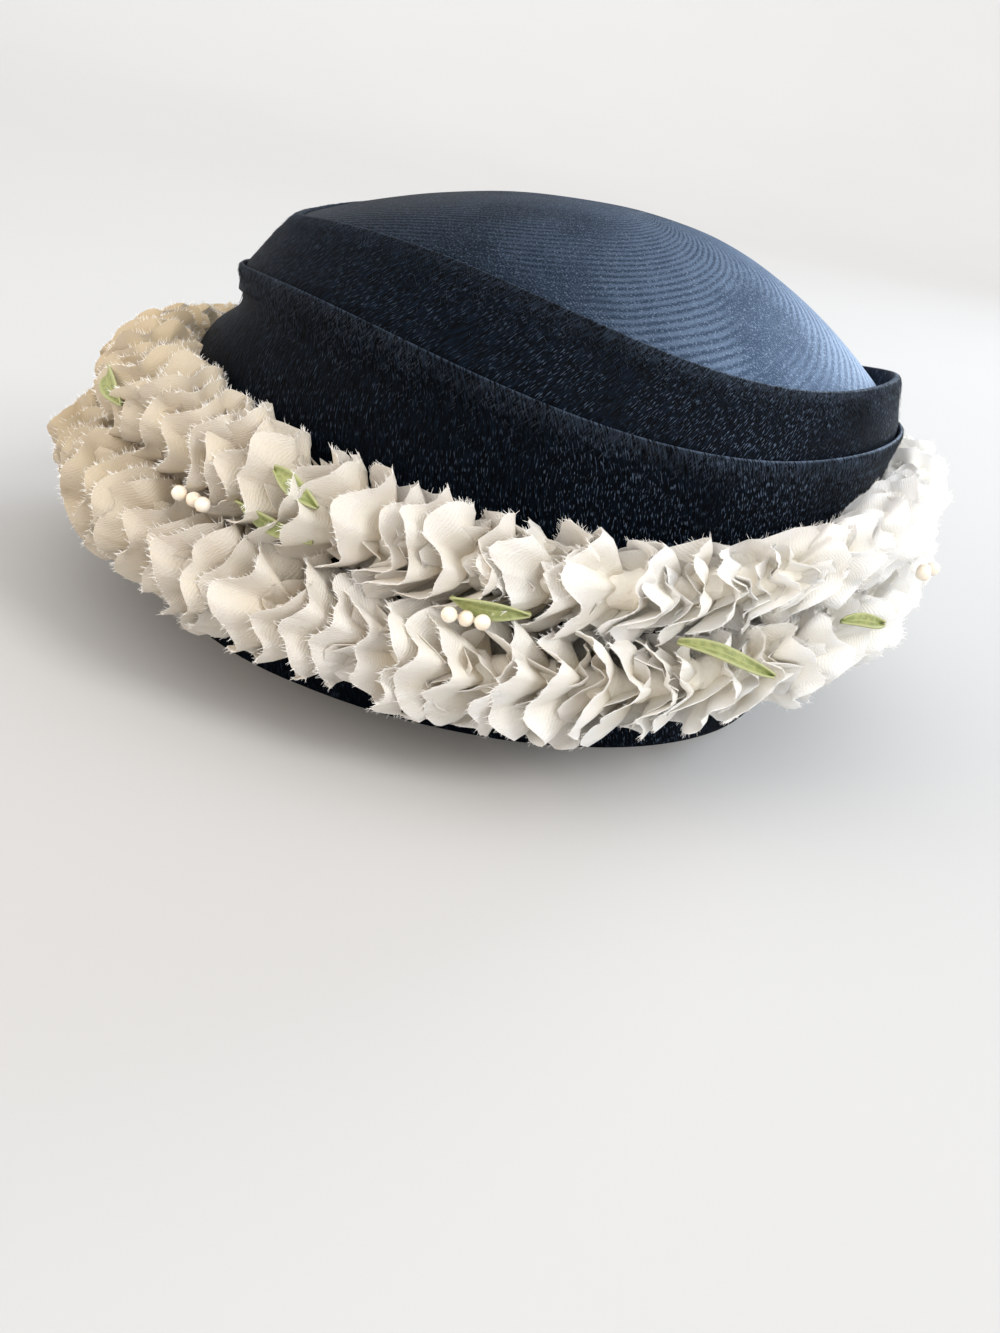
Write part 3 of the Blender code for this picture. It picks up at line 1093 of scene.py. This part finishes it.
@dataclass
class Crown:
    """The two stepped bands and the domed tip."""

    form: HatForm
    around: int = 240
    band_steps: int = 80
    tier_steps: int = 60
    tip_steps: int = 70
    wall: float = 0.8 * MM
    hem: float = 3 * MM
    hem_share: float = 0.05
    tip_grain: float = 45.0
    wall_grain: float = 38.0
    unevenness: float = 0.35 * MM

    def _uneven(self, point: Vector, theta: float) -> Vector:
        """Give a point of a cloth wall its slight unevenness."""
        swell = noise.noise(point * self.wall_grain) * self.unevenness
        return point + self.form.outward(theta) * swell

    def _band(
        self,
        section: Callable[[float], list[Vector]],
        steps: int,
        spread: float,
    ) -> bmesh.types.BMesh:
        """Sweep a section round the hat.

        Args:
            section: Points of the section at an angle.
            steps: Steps along the section.
            spread: Power that crowds the steps towards the fold.

        Returns:
            The outside of the band.
        """
        columns: dict[int, list[Vector]] = {}
        lengths = [0.0]
        middle = section(0.75 * TURN)
        spans = len(middle) - 1
        shares = [(step / steps) ** spread for step in range(steps + 1)]
        line = [curve_through(middle, spans * share) for share in shares]
        for last, here in zip(line, line[1:]):
            lengths.append(lengths[-1] + (here - last).length)
        top = lengths[max(range(steps + 1), key=lambda step: line[step].z)]

        def shape(u: float, v: float) -> Vector:
            """Point of the band.

            Args:
                u: Share of the way round.
                v: Share of the way along the section.

            Returns:
                The point.
            """
            column = round(u * self.around) % self.around
            theta = TURN * column / self.around
            points = columns.setdefault(column, section(theta))
            point = curve_through(points, spans * max(v, 0.0) ** spread)
            moved = self._uneven(point, theta)
            if v < 1e-4:
                moved.z = point.z
            return moved

        def chart(u: float, v: float) -> tuple[float, float]:
            """Map of the band in metres, round the hat and up its side from the fold."""
            girth = math.pi * 0.5 * (self.form.rim_length + self.form.rim_depth)
            return u * girth, lengths[round(v * steps)] - top

        return sheet_of(self.around, steps, shape, chart)

    def build_lower_band(self, material: bpy.types.Material) -> None:
        """Make the lower band with its rolled fold.

        Args:
            material: Its finish.
        """
        bm = self._band(self.form.band_section, self.band_steps, 0.8)
        piece = finished("lower_band_cloth", bm, material, wall=self.wall)
        place_on_hat(piece, "band_cloth", "lower_band")

    def build_upper_band(self, material: bpy.types.Material) -> None:
        """Make the upper band with its lip.

        Args:
            material: Its finish.
        """
        bm = self._band(self.form.tier_section, self.tier_steps, 1.0)
        piece = finished("upper_band_cloth", bm, material, wall=self.wall)
        place_on_hat(piece, "tier_cloth", "upper_band")

    def build_tip(self, material: bpy.types.Material) -> None:
        """Make the domed tip, with a hem that goes down inside the lip.

        Args:
            material: Its finish.
        """
        form, hem_share = self.form, self.hem_share
        reach = 0.5 * form.tier_length

        def shape(u: float, v: float) -> Vector:
            """Point of the tip; the last share of the grid is the hem inside the lip.

            Args:
                u: Share of the way round.
                v: Share of the way out from the apex.

            Returns:
                The point.
            """
            theta = TURN * (round(u * self.around) % self.around) / self.around
            out = min(v / (1 - hem_share), 1.0)
            point = form.tip_point(theta, out)
            point.z += self.unevenness * noise.noise(point * self.tip_grain) * (1 - out**4)
            if v > 1 - hem_share:
                down = (v - 1 + hem_share) / hem_share
                point.z -= down * self.hem
            return point

        def chart(u: float, v: float) -> tuple[float, float]:
            """Map of the tip: share round it, and metres out from its apex."""
            return u, v * reach

        bm = sheet_of(self.around, self.tip_steps, shape, chart)
        piece = finished("tip_cloth_dome", bm, material, wall=self.wall)
        place_on_hat(piece, "tip_cloth", "crown_tip")


@dataclass
class FoldNap:
    """Single hairs that stand out of the cloth along a band's folded edge."""

    name: str
    surface: Callable[[float, float], Vector]
    slant: float
    seed: int
    count: int = 7000
    batch: int = 100
    mean_depth: float = 3.0 * MM
    deepest: float = 12 * MM
    probe: float = 0.5 * MM
    spread: float = 0.15
    rise: tuple = (0.05, 0.30)
    lift: float = 0.1 * MM
    lengths: tuple = (0.7 * MM, 1.9 * MM)
    radii: tuple = (0.045 * MM, 0.012 * MM)

    def build(self, material: bpy.types.Material, slot: str) -> None:
        """Make the hairs.

        Args:
            material: Their finish.
            slot: The record's material slot.
        """
        self.draw = random.Random(self.seed)
        whole = bmesh.new()
        for _ in range(self.count // self.batch):
            part = bmesh.new()
            for _ in range(self.batch):
                self._add_hair(part)
            absorb(whole, part)
        place_on_hat(finished(self.name, whole, material), slot)

    def _add_hair(self, bm: bmesh.types.BMesh) -> None:
        """Add one tapering hair, rooted in the cloth and combed down and aside.

        Args:
            bm: The mesh that takes it.
        """
        draw = self.draw
        theta = draw.uniform(0.0, TURN)
        depth = min(draw.expovariate(1 / self.mean_depth), self.deepest)
        start = self.surface(theta, depth)
        down = (self.surface(theta, depth + self.probe) - start).normalized()
        side = (self.surface(theta + 0.01, depth) - start).normalized()
        outwards = down.cross(side).normalized()
        angle = self.slant + draw.gauss(0.0, self.spread)
        way = down * math.cos(angle) + side * math.sin(angle)
        way = (way + outwards * draw.uniform(*self.rise)).normalized()
        length = draw.uniform(*self.lengths)
        add_thread(bm, start + outwards * self.lift, way, length, self.radii)


@dataclass
class BlossomRow:
    """One row of the wreath: cloth blossoms threaded close together on a core."""

    form: RowForm
    count: int
    seed: int
    rim_steps: int = 60
    ring_steps: int = 7
    cloth: float = 0.28 * MM
    reach_share: float = 1.06
    back_reach: float = 0.28
    far_front_reach: float = 0.28
    notch: float = 0.16
    puff: float = 3.0 * MM
    ruffle: float = 2.6 * MM
    flutter: float = 0.9 * MM
    cup: float = 12.0 * MM
    back_cup: float = -0.8
    curl: float = 2.0 * MM
    lean: float = 0.20
    loose_lean: float = 1.2
    inner_share: float = 0.72
    inner_lean: float = 0.5
    inner_steps: tuple = (36, 4)
    turn_overs: tuple = (118.0, 306.0)
    turn_width: float = 20.0
    core_radius: float = 5.0 * MM
    threads_each: int = 120
    # Painted shade: how sharply it gathers at the front of the hat.
    shade_power: float = 1.5
    lobe_choice: tuple = (5, 5, 6, 6, 7)
    wave_choice: tuple = (4, 4, 4, 5)
    flutters: int = 9
    own_size: tuple = (0.90, 1.10)
    own_cup: tuple = (0.82, 1.18)
    own_lobe: tuple = (0.88, 1.04)
    far_front: float = math.radians(155)
    lift: float = 1.7 * MM
    crumple: float = 1.5 * MM
    rag: float = 0.5 * MM
    rag_share: float = 0.03
    patch_share: float = 0.16
    loose_share: float = 0.6
    longest_step: float = 4 * MM
    thread_bend: float = 0.35
    thread_sink: float = 0.3 * MM
    thread_lengths: tuple = (0.7 * MM, 2.0 * MM)
    thread_radii: tuple = (0.08 * MM, 0.03 * MM)
    core_steps: tuple = (360, 16)
    core_unevenness: float = 0.35

    def __post_init__(self) -> None:
        """Start the row's own run of random numbers and its slowly changing lean."""
        self.draw = random.Random(self.seed)
        self.drift = [0.0, 0.0]

    def _cup_share(self, theta: float) -> float:
        """Share of the full cup that blossoms have at an angle.

        Args:
            theta: Angle from the back of the hat.

        Returns:
            One along the front; less than none along the back, where they lie the other way.
        """
        degrees = math.degrees(theta) % 360.0
        start, end = (
            min(1.0, max(0.0, (degrees - middle) / self.turn_width + 0.5))
            for middle in self.turn_overs
        )
        front = start * start * (3 - 2 * start) - end * end * (3 - 2 * end)
        return self.back_cup + (1.0 - self.back_cup) * front

    @staticmethod
    def _flat_disc(rim_steps: int, ring_steps: int) -> bpy.types.Mesh:
        """Spin the flat disc that a blossom is cut as, with a radius of one.

        Args:
            rim_steps: Steps round it.
            ring_steps: Steps from its middle to its edge.

        Returns:
            The disc.
        """
        bm = bmesh.new()
        chain = [
            bm.verts.new((index / ring_steps, 0.0, 0.0)) for index in range(ring_steps + 1)
        ]
        edges = [bm.edges.new(pair) for pair in zip(chain, chain[1:])]
        bmesh.ops.spin(
            bm,
            geom=chain + edges,
            cent=(0.0, 0.0, 0.0),
            axis=(0.0, 0.0, 1.0),
            angle=TURN,
            steps=rim_steps,
            use_merge=True,
        )
        weld(bm)
        layer = bm.loops.layers.uv.new("petal")
        for face in bm.faces:
            for loop in face.loops:
                loop[layer].uv = loop.vert.co.xy
        cut = bpy.data.meshes.new("cut")
        bm.to_mesh(cut)
        bm.free()
        return cut

    def _shape_blossom(
        self, bm: bmesh.types.BMesh, theta: float, phase: float, share: float = 1.0
    ) -> list[tuple[Vector, Vector]]:
        """Turn a flat disc into a blossom in its place on the row.

        Args:
            bm: The flat disc.
            theta: The blossom's angle round the hat.
            phase: Turn of its ruffles, which drifts from one blossom to the next.
            share: Its size as a share of a full blossom; a smaller one leans more.

        Returns:
            Points of its edge with their outward directions, for the frayed threads.
        """
        draw = self.draw
        lobes = draw.choice(self.lobe_choice)
        size_own = draw.uniform(*self.own_size)
        size_own -= self.back_reach * max(0.0, math.cos(theta)) ** 2
        size_own -= self.far_front_reach * max(0.0, math.cos(theta - self.far_front)) ** 6
        size_own *= share
        cup_share = self._cup_share(theta) * share**2
        cup = self.cup * draw.uniform(*self.own_cup) * cup_share
        facing = 1.0 if cup_share > 0 else -1.0
        waves = draw.choice(self.wave_choice)
        flutter_phase = draw.uniform(0.0, TURN)
        turn = draw.uniform(0.0, TURN)
        lengths = [draw.uniform(*self.own_lobe) for _ in range(lobes)]
        lifts = [draw.uniform(-1.0, 1.0) for _ in range(lobes)]
        self.drift = [0.7 * part + draw.gauss(0.0, 0.5) for part in self.drift]
        lean = self.lean * (1 + self.loose_lean * (1 - abs(cup_share)))
        tilt = [lean * part for part in self.drift]
        if share < 1:
            tilt = [draw.gauss(0.0, self.inner_lean) for _ in tilt]
        seed = Vector((draw.uniform(0, 50), draw.uniform(0, 50), draw.uniform(0, 50)))
        stride = self.form.stride(theta)
        radius = self.form.radius * self.reach_share * size_own
        _, standoff = self.form.place(theta)
        stretch = max(1.0, (standoff - self.form.hat.gap) / self.form.radius)
        edge, inner = {}, {}
        for vertex in bm.verts:
            flat = vertex.co.xy
            out = flat.length
            phi = math.atan2(flat.y, flat.x)
            spot = ((phi + turn) / TURN * lobes) % lobes
            petal = int(spot)
            lobe = 0.5 - 0.5 * math.cos(TURN * (spot - petal))
            crumple = noise.noise(seed + Vector((flat.x, flat.y, 0.0)) * 2.6)
            rag = noise.noise(seed + Vector((math.cos(phi), math.sin(phi), 0.0)) * 9.0)
            size = 1 - self.notch * (1 - lobe) * out**2
            size *= 1 + (lengths[petal] - 1) * lobe * out
            size += self.rag_share * rag * out**6
            reach = radius * out * size
            pillow = max(0.0, math.sin(math.pi * out**1.25)) ** 0.7
            along = facing * self.puff * lobe * pillow
            along -= cup * out**1.05
            along += facing * self.curl * (0.5 + 0.5 * lifts[petal]) * out**8
            along += self.ruffle * out**1.6 * math.sin(waves * phi + phase)
            along += self.flutter * out**2 * math.sin(self.flutters * phi + flutter_phase)
            along += self.lift * lifts[petal] * lobe * out**1.5
            along += self.crumple * crumple * (0.3 + out)
            along += self.rag * rag * out**4
            along += reach * (tilt[0] * math.cos(phi) + tilt[1] * math.sin(phi))
            reach_out = reach * math.cos(phi) * (stretch if math.cos(phi) < 0 else 1.0)
            here = theta + along / stride
            across, up = self.form.pressed(here, reach_out, reach * math.sin(phi))
            vertex.co = self.form.point(here, across, up)
            key = round(phi, 3)
            if out > 0.99:
                edge[key] = vertex.co.copy()
            elif out > 0.7:
                inner[key] = vertex.co.copy()
        return [(edge[key], (edge[key] - inner[key]).normalized()) for key in edge if key in inner]

    def _fray(self, bm: bmesh.types.BMesh, rim: list[tuple[Vector, Vector]]) -> None:
        """Add a blossom's frayed threads.

        Args:
            bm: The mesh that takes them.
            rim: Points of its edge with their outward directions.
        """
        draw = self.draw
        patch = draw.randrange(len(rim))
        for _ in range(self.threads_each):
            index = (patch + int(draw.gauss(0, self.patch_share) * len(rim))) % len(rim)
            if draw.random() < self.loose_share:
                index = draw.randrange(len(rim))
            start, way = rim[index]
            after, _ = rim[(index + 1) % len(rim)]
            share = draw.random()
            if (after - start).length < self.longest_step:
                start = start.lerp(after, share)
            bend = Vector([draw.gauss(0, self.thread_bend) for _ in range(3)])
            way = (way + bend).normalized()
            length = draw.uniform(*self.thread_lengths)
            add_thread(bm, start - way * self.thread_sink, way, length, self.thread_radii)

    def build(
        self, satin: bpy.types.Material, thread: bpy.types.Material, core: bpy.types.Material
    ) -> None:
        """Make the row's blossoms, frayed threads and core.

        Args:
            satin: Finish of the blossoms.
            thread: Finish of the frayed threads.
            core: Finish of the core.
        """
        name = self.form.row.value
        cut = self._flat_disc(self.rim_steps, self.ring_steps)
        inner_cut = self._flat_disc(*self.inner_steps)
        halves = {side: (bmesh.new(), bmesh.new()) for side in ("left", "right")}
        for blossoms, _ in halves.values():
            blossoms.verts.layers.float.new("tint")
            blossoms.verts.layers.float.new("age")
        phase = self.draw.uniform(0.0, TURN)
        for theta in self.form.even_angles(self.count):
            blossoms, threads = halves["left" if theta < math.pi else "right"]
            phase += self.draw.gauss(0.0, 0.5)
            theta += self.draw.gauss(0.0, 0.06) * TURN / self.count
            own = self.draw.random()
            bm = bmesh.new()
            bm.from_mesh(cut)
            rim = self._shape_blossom(bm, theta, phase)
            self._add_blossom(blossoms, bm, theta, own)
            shares = (0.5,) if abs(self._cup_share(theta)) > 0.6 else (0.25, 0.5, 0.75)
            for share in shares:
                between = theta + share * TURN / self.count
                bm = bmesh.new()
                bm.from_mesh(inner_cut)
                self._shape_blossom(bm, between, phase, self.inner_share)
                self._add_blossom(blossoms, bm, theta, own)
            frayed = bmesh.new()
            self._fray(frayed, rim)
            absorb(threads, frayed)
        for side, (blossoms, threads) in halves.items():
            piece = finished(f"{name}_blossoms_{side}", blossoms, satin, 60.0)
            place_on_hat(piece, "blossom_cloth", f"{name}_flower_row")
            place_on_hat(finished(f"{name}_fray_{side}", threads, thread), "blossom_cloth")
        place_on_hat(finished(f"{name}_core", self._core(), core), "blossom_cloth")

    def _add_blossom(
        self, whole: bmesh.types.BMesh, bm: bmesh.types.BMesh, theta: float, own: float
    ) -> None:
        """Give a blossom its thickness, its own tint and its share of painted shade, and add it to
        the row.

        Args:
            whole: The row.
            bm: The blossom, which is freed.
            theta: Its angle round the hat; the front gets the most painted shade.
            own: Its own tint.
        """
        bmesh.ops.solidify(bm, geom=bm.faces[:], thickness=self.cloth)
        tint = bm.verts.layers.float.new("tint")
        age = bm.verts.layers.float.new("age")
        # Painted shade: strongest at the front of the hat, away from the key light.
        shade_share = self.form.hat.front_share(theta) ** self.shade_power
        for vertex in bm.verts:
            vertex[tint] = own
            vertex[age] = shade_share
        absorb(whole, bm)

    def _core(self) -> bmesh.types.BMesh:
        """Sweep the wrapped core that the blossoms are threaded on.

        Returns:
            The core.
        """
        long_way, round_way = self.core_steps

        def shape(u: float, v: float) -> Vector:
            """Point of the core.

            Args:
                u: Share of the way round the hat.
                v: Share of the way round the section.

            Returns:
                The point.
            """
            theta = TURN * (round(u * long_way) % long_way) / long_way
            phi = TURN * (round(v * round_way) % round_way) / round_way
            spot = Vector((60 * math.cos(theta), 60 * math.sin(theta), 1.5 * math.sin(phi)))
            radius = self.core_radius * (1 + self.core_unevenness * noise.noise(spot))
            out = radius * math.cos(phi)
            return self.form.point(theta, out, -radius * math.sin(phi))

        return sheet_of(long_way, round_way, shape, flat_chart)


@dataclass
class Leaf:
    """A narrow pointed cloth leaf that lies along a row."""

    form: RowForm
    degrees: float
    around: float
    length: float
    tuck: float
    slope: float
    width: float = 4.6 * MM
    cloth: float = 0.5 * MM
    petal_wave: float = 0.06
    fullness: float = 0.75
    end_share: float = 0.02
    fold: float = 0.9 * MM
    ripple: float = 0.5 * MM
    arch: float = 1.2 * MM

    def build(self, number: int, material: bpy.types.Material) -> None:
        """Make the leaf.

        Args:
            number: Its number, as in its CAD node's name.
            material: Its finish.
        """
        centre = math.radians(self.degrees)
        phi = math.radians(self.around)
        stride = self.form.stride(centre)
        radius = self.form.radius
        reach = radius * (1 + self.petal_wave) + self.form.hat.gap - self.tuck

        def shape(u: float, v: float) -> Vector:
            """Point of the leaf, from side to side and from stalk to tip.

            Args:
                u: Share of its width.
                v: Share of its length.

            Returns:
                The point.
            """
            side = 2 * u - 1
            full = math.sin(math.pi * v) ** self.fullness * (1.15 - 0.4 * v)
            half = 0.5 * self.width * max(self.end_share, full)
            lift = self.fold * abs(side) ** 1.3 + self.ripple * math.sin(5 * v + side)
            lift -= self.arch * (2 * v - 1) ** 2
            theta = centre + self.length * (v - 0.5) / stride
            angle = phi + side * half / radius - self.slope * (v - 0.5)
            out = (reach + lift) * math.cos(angle)
            return self.form.point(theta, out, (reach + lift) * math.sin(angle))

        bm = sheet_of(10, 26, shape, flat_chart)
        piece = finished(f"leaf_blade_{number}", bm, material, wall=self.cloth)
        place_on_hat(piece, "leaf_cloth", f"leaf_{number}")


@dataclass
class Stamens:
    """Three pearls on short threads in the valley between the rows."""

    unevenness: float = 0.1 * MM
    grain: float = 900.0

    def build(self, number: int, material: bpy.types.Material) -> None:
        """Make a cluster in the place that its CAD node holds.

        Args:
            number: Its number, as in its CAD node's name.
            material: Its finish.
        """
        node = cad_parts[f"stamens_{number}"]
        low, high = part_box(f"stamens_{number}")
        centre = (low + high) / 2
        bm = bmesh.new()
        bm.from_mesh(node.data)
        bmesh.ops.remove_doubles(bm, verts=bm.verts, dist=10 * WELD)
        bmesh.ops.subdivide_edges(bm, edges=bm.edges[:], cuts=1, use_grid_fill=True, smooth=0.6)
        for vertex in bm.verts:
            swell = noise.noise(vertex.co * self.grain) * self.unevenness
            vertex.co += (vertex.co - centre).normalized() * swell
        piece = finished(f"pearls_{number}", bm, material)
        place_on_hat(piece, "pearl_glaze", f"stamens_{number}")


@dataclass(frozen=True)
class SoftLight:
    """A square soft light; its sizes are in metres and its beam in degrees."""

    name: str
    place: tuple
    target: tuple
    size: float
    watts: float
    colour: tuple
    beam: float = 180.0

    def build(self) -> None:
        """Make the light, which the camera doesn't see."""
        data = bpy.data.lights.new(self.name, "AREA")
        data.size = self.size
        data.energy = self.watts
        data.color = self.colour
        data.spread = math.radians(self.beam)
        light = bpy.data.objects.new(self.name, data)
        light.location = self.place
        aim = Vector(self.target) - Vector(self.place)
        light.rotation_euler = aim.to_track_quat("-Z", "Y").to_euler()
        light.visible_camera = False
        bpy.context.scene.collection.objects.link(light)


HAT_MIDDLE = (0.0, 0.0, 0.05)
LIGHTS = (
    SoftLight("key", (5.7, -3.0, 5.7), HAT_MIDDLE, 3.2, 310.0, (1.0, 0.99, 0.97)),
    SoftLight("rear", (1.5, 1.9, 0.8), HAT_MIDDLE, 0.9, 3.5, (0.74, 0.87, 1.0), 45.0),
    SoftLight("fill", (-1.3, -0.7, 0.5), HAT_MIDDLE, 1.0, 6.0, (1.0, 0.74, 0.48)),
    SoftLight("backdrop", (-0.7, 1.4, 2.8), (-0.5, 4.2, 1.6), 2.0, 34.0, (1.0, 1.0, 1.0)),
)


@dataclass
class Studio:
    """Pale floor, soft lights and the camera."""

    lens: float = 32.38
    camera_place: Vector = Vector((-2.8 * MM, -356.8 * MM, 155.6 * MM))
    azimuth: float = math.radians(-2.4)
    elevation: float = math.radians(25.9)
    roll: float = math.radians(13.6)
    room_colour: tuple = (1.0, 0.99, 0.98, 1.0)
    room_strength: float = 1.22
    floor_start: float = -2.0
    floor_run: float = 9.0
    floor_width: float = 14.0
    bend_start: float = 1.8
    bend_radius: float = 2.4

    def build_floor(self, material: bpy.types.Material) -> None:
        """Make the floor, which sweeps up behind the hat.

        Args:
            material: Its finish.
        """
        bend_start, bend_radius = self.bend_start, self.bend_radius

        def shape(u: float, v: float) -> Vector:
            """Point of the sweep: flat, then curving up into a wall.

            Args:
                u: Share of its width.
                v: Share of its length.

            Returns:
                The point.
            """
            run = self.floor_start + self.floor_run * v
            arc = bend_radius * math.pi / 2
            x = (u - 0.5) * self.floor_width
            if run < bend_start:
                return Vector((x, run, 0.0))
            turn = min(run - bend_start, arc) / bend_radius
            rise = max(run - bend_start - arc, 0.0)
            y = bend_start + bend_radius * math.sin(turn)
            return Vector((x, y, bend_radius * (1 - math.cos(turn)) + rise))

        bm = sheet_of(8, 60, shape, flat_chart)
        bmesh.ops.reverse_faces(bm, faces=[f for f in bm.faces if f.normal.z < -0.5])
        finished("studio_floor", bm, material)

    def build_lights(self) -> None:
        """Make the soft lights and the room's own light."""
        for light in LIGHTS:
            light.build()
        world = bpy.data.worlds.new("room")
        world.use_nodes = True
        background = world.node_tree.nodes["Background"]
        background.inputs["Color"].default_value = self.room_colour
        background.inputs["Strength"].default_value = self.room_strength
        bpy.context.scene.world = world
        bpy.context.scene.view_settings.view_transform = "Standard"

    def build_camera(self) -> None:
        """Make the camera at the photograph's viewing angle."""
        az, el = self.azimuth, self.elevation
        back = Vector(
            (math.sin(az) * math.cos(el), -math.cos(az) * math.cos(el), math.sin(el))
        )
        level = Vector((math.cos(az), math.sin(az), 0.0))
        up = back.cross(level)
        right = level * math.cos(self.roll) + up * math.sin(self.roll)
        top = up * math.cos(self.roll) - level * math.sin(self.roll)
        data = bpy.data.cameras.new("camera")
        data.lens = self.lens
        data.sensor_width = 36.0
        data.sensor_fit = "AUTO"
        data.clip_start = 0.01
        data.clip_end = 50.0
        camera = bpy.data.objects.new("camera", data)
        camera.matrix_world = Matrix.Translation(self.camera_place) @ Matrix(
            (right, top, back)
        ).transposed().to_4x4()
        bpy.context.scene.collection.objects.link(camera)
        bpy.context.scene.camera = camera


# Leaves, columns: degrees round the hat, degrees round the row's section, length and how deep
# they are tucked between the petals in millimetres, how far they slope down, which row
LEAVES = (
    (209, 10, 18, 1.5, 0.2, Row.UPPER),
    (244, -16, 20, 3.0, 0.1, Row.UPPER),
    (245, 33, 14, 2.5, 0.3, Row.UPPER),
    (270.5, -16, 17, 1.0, 0.0, Row.UPPER),
    (298, 50, 24, 1.0, 0.9, Row.LOWER),
    (319, 46, 15, 2.6, 0.5, Row.LOWER),
    (26, -12, 22, 2.0, 0.1, Row.UPPER),
    (76, 56, 24, 2.0, -0.4, Row.LOWER),
    (130, -12, 22, 2.0, 0.1, Row.UPPER),
)


def rim_middle() -> float:
    """Middle of the rim along X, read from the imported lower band's flat edge."""
    points = [v.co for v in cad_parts["lower_band"].data.vertices if v.co.z < 0.1 * MM]
    return 0.5 * (min(p.x for p in points) + max(p.x for p in points))


def wreath_forms(hat: HatForm) -> dict[Row, RowForm]:
    """Forms of the two rows, each knowing the other.

    Args:
        hat: Sizes of the hat.

    Returns:
        The forms by their rows.
    """
    lower = RowForm(hat, Row.LOWER, 38 * MM, 6.5 * MM, 22 * MM, 18 * MM, 15 * MM, 14.8 * MM)
    upper = RowForm(hat, Row.UPPER, 60 * MM, 4.5 * MM, 12 * MM, 11 * MM, 9 * MM, 14 * MM)
    lower.other, upper.other = upper, lower
    return {Row.LOWER: lower, Row.UPPER: upper}


def main() -> None:
    """Build the hat's looks and the studio round it."""
    logging.basicConfig(level=logging.INFO, format="%(message)s")
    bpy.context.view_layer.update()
    hat = HatForm(rim_middle())
    studio = Studio()
    studio.build_camera()
    studio.build_lights()
    studio.build_floor(StudioPaper().build())
    crown = Crown(hat)
    crown.build_lower_band(PileCloth("band_pile", math.radians(-24)).build())
    crown.build_upper_band(
        PileCloth("tier_pile", math.radians(26), pile=(0.003, 0.0075, 0.016)).build()
    )
    crown.build_tip(SpiralCloth().build())
    nap = PlainCloth("nap_hair", (0.003, 0.006, 0.011), (0.034, 0.050, 0.078), 0.6).build()
    fold_slant, lip_slant = math.radians(-30), math.radians(30)
    FoldNap("fold_nap", hat.under_fold, fold_slant, 5).build(nap, "band_cloth")
    FoldNap("lip_nap", hat.under_lip, lip_slant, 7).build(nap, "tier_cloth")
    satin = PetalSatin().build()
    thread = PlainCloth("white_thread", (0.88, 0.86, 0.82), (0.96, 0.95, 0.93)).build()
    core = PlainCloth("core_wrap", (0.84, 0.79, 0.69), (0.92, 0.89, 0.82)).build()
    rows = wreath_forms(hat)
    BlossomRow(rows[Row.LOWER], 100, 11).build(satin, thread, core)
    BlossomRow(rows[Row.UPPER], 92, 23).build(satin, thread, core)
    green = LeafCloth().build()
    for number, (degrees, around, length, tuck, slope, row) in enumerate(LEAVES, start=1):
        leaf = Leaf(rows[row], degrees, around, length * MM, tuck * MM, slope)
        leaf.build(number, green)
    pearl = PearlGlaze().build()
    for number in (1, 2, 3):
        Stamens().build(number, pearl)


if __name__ == "__main__":
    main()
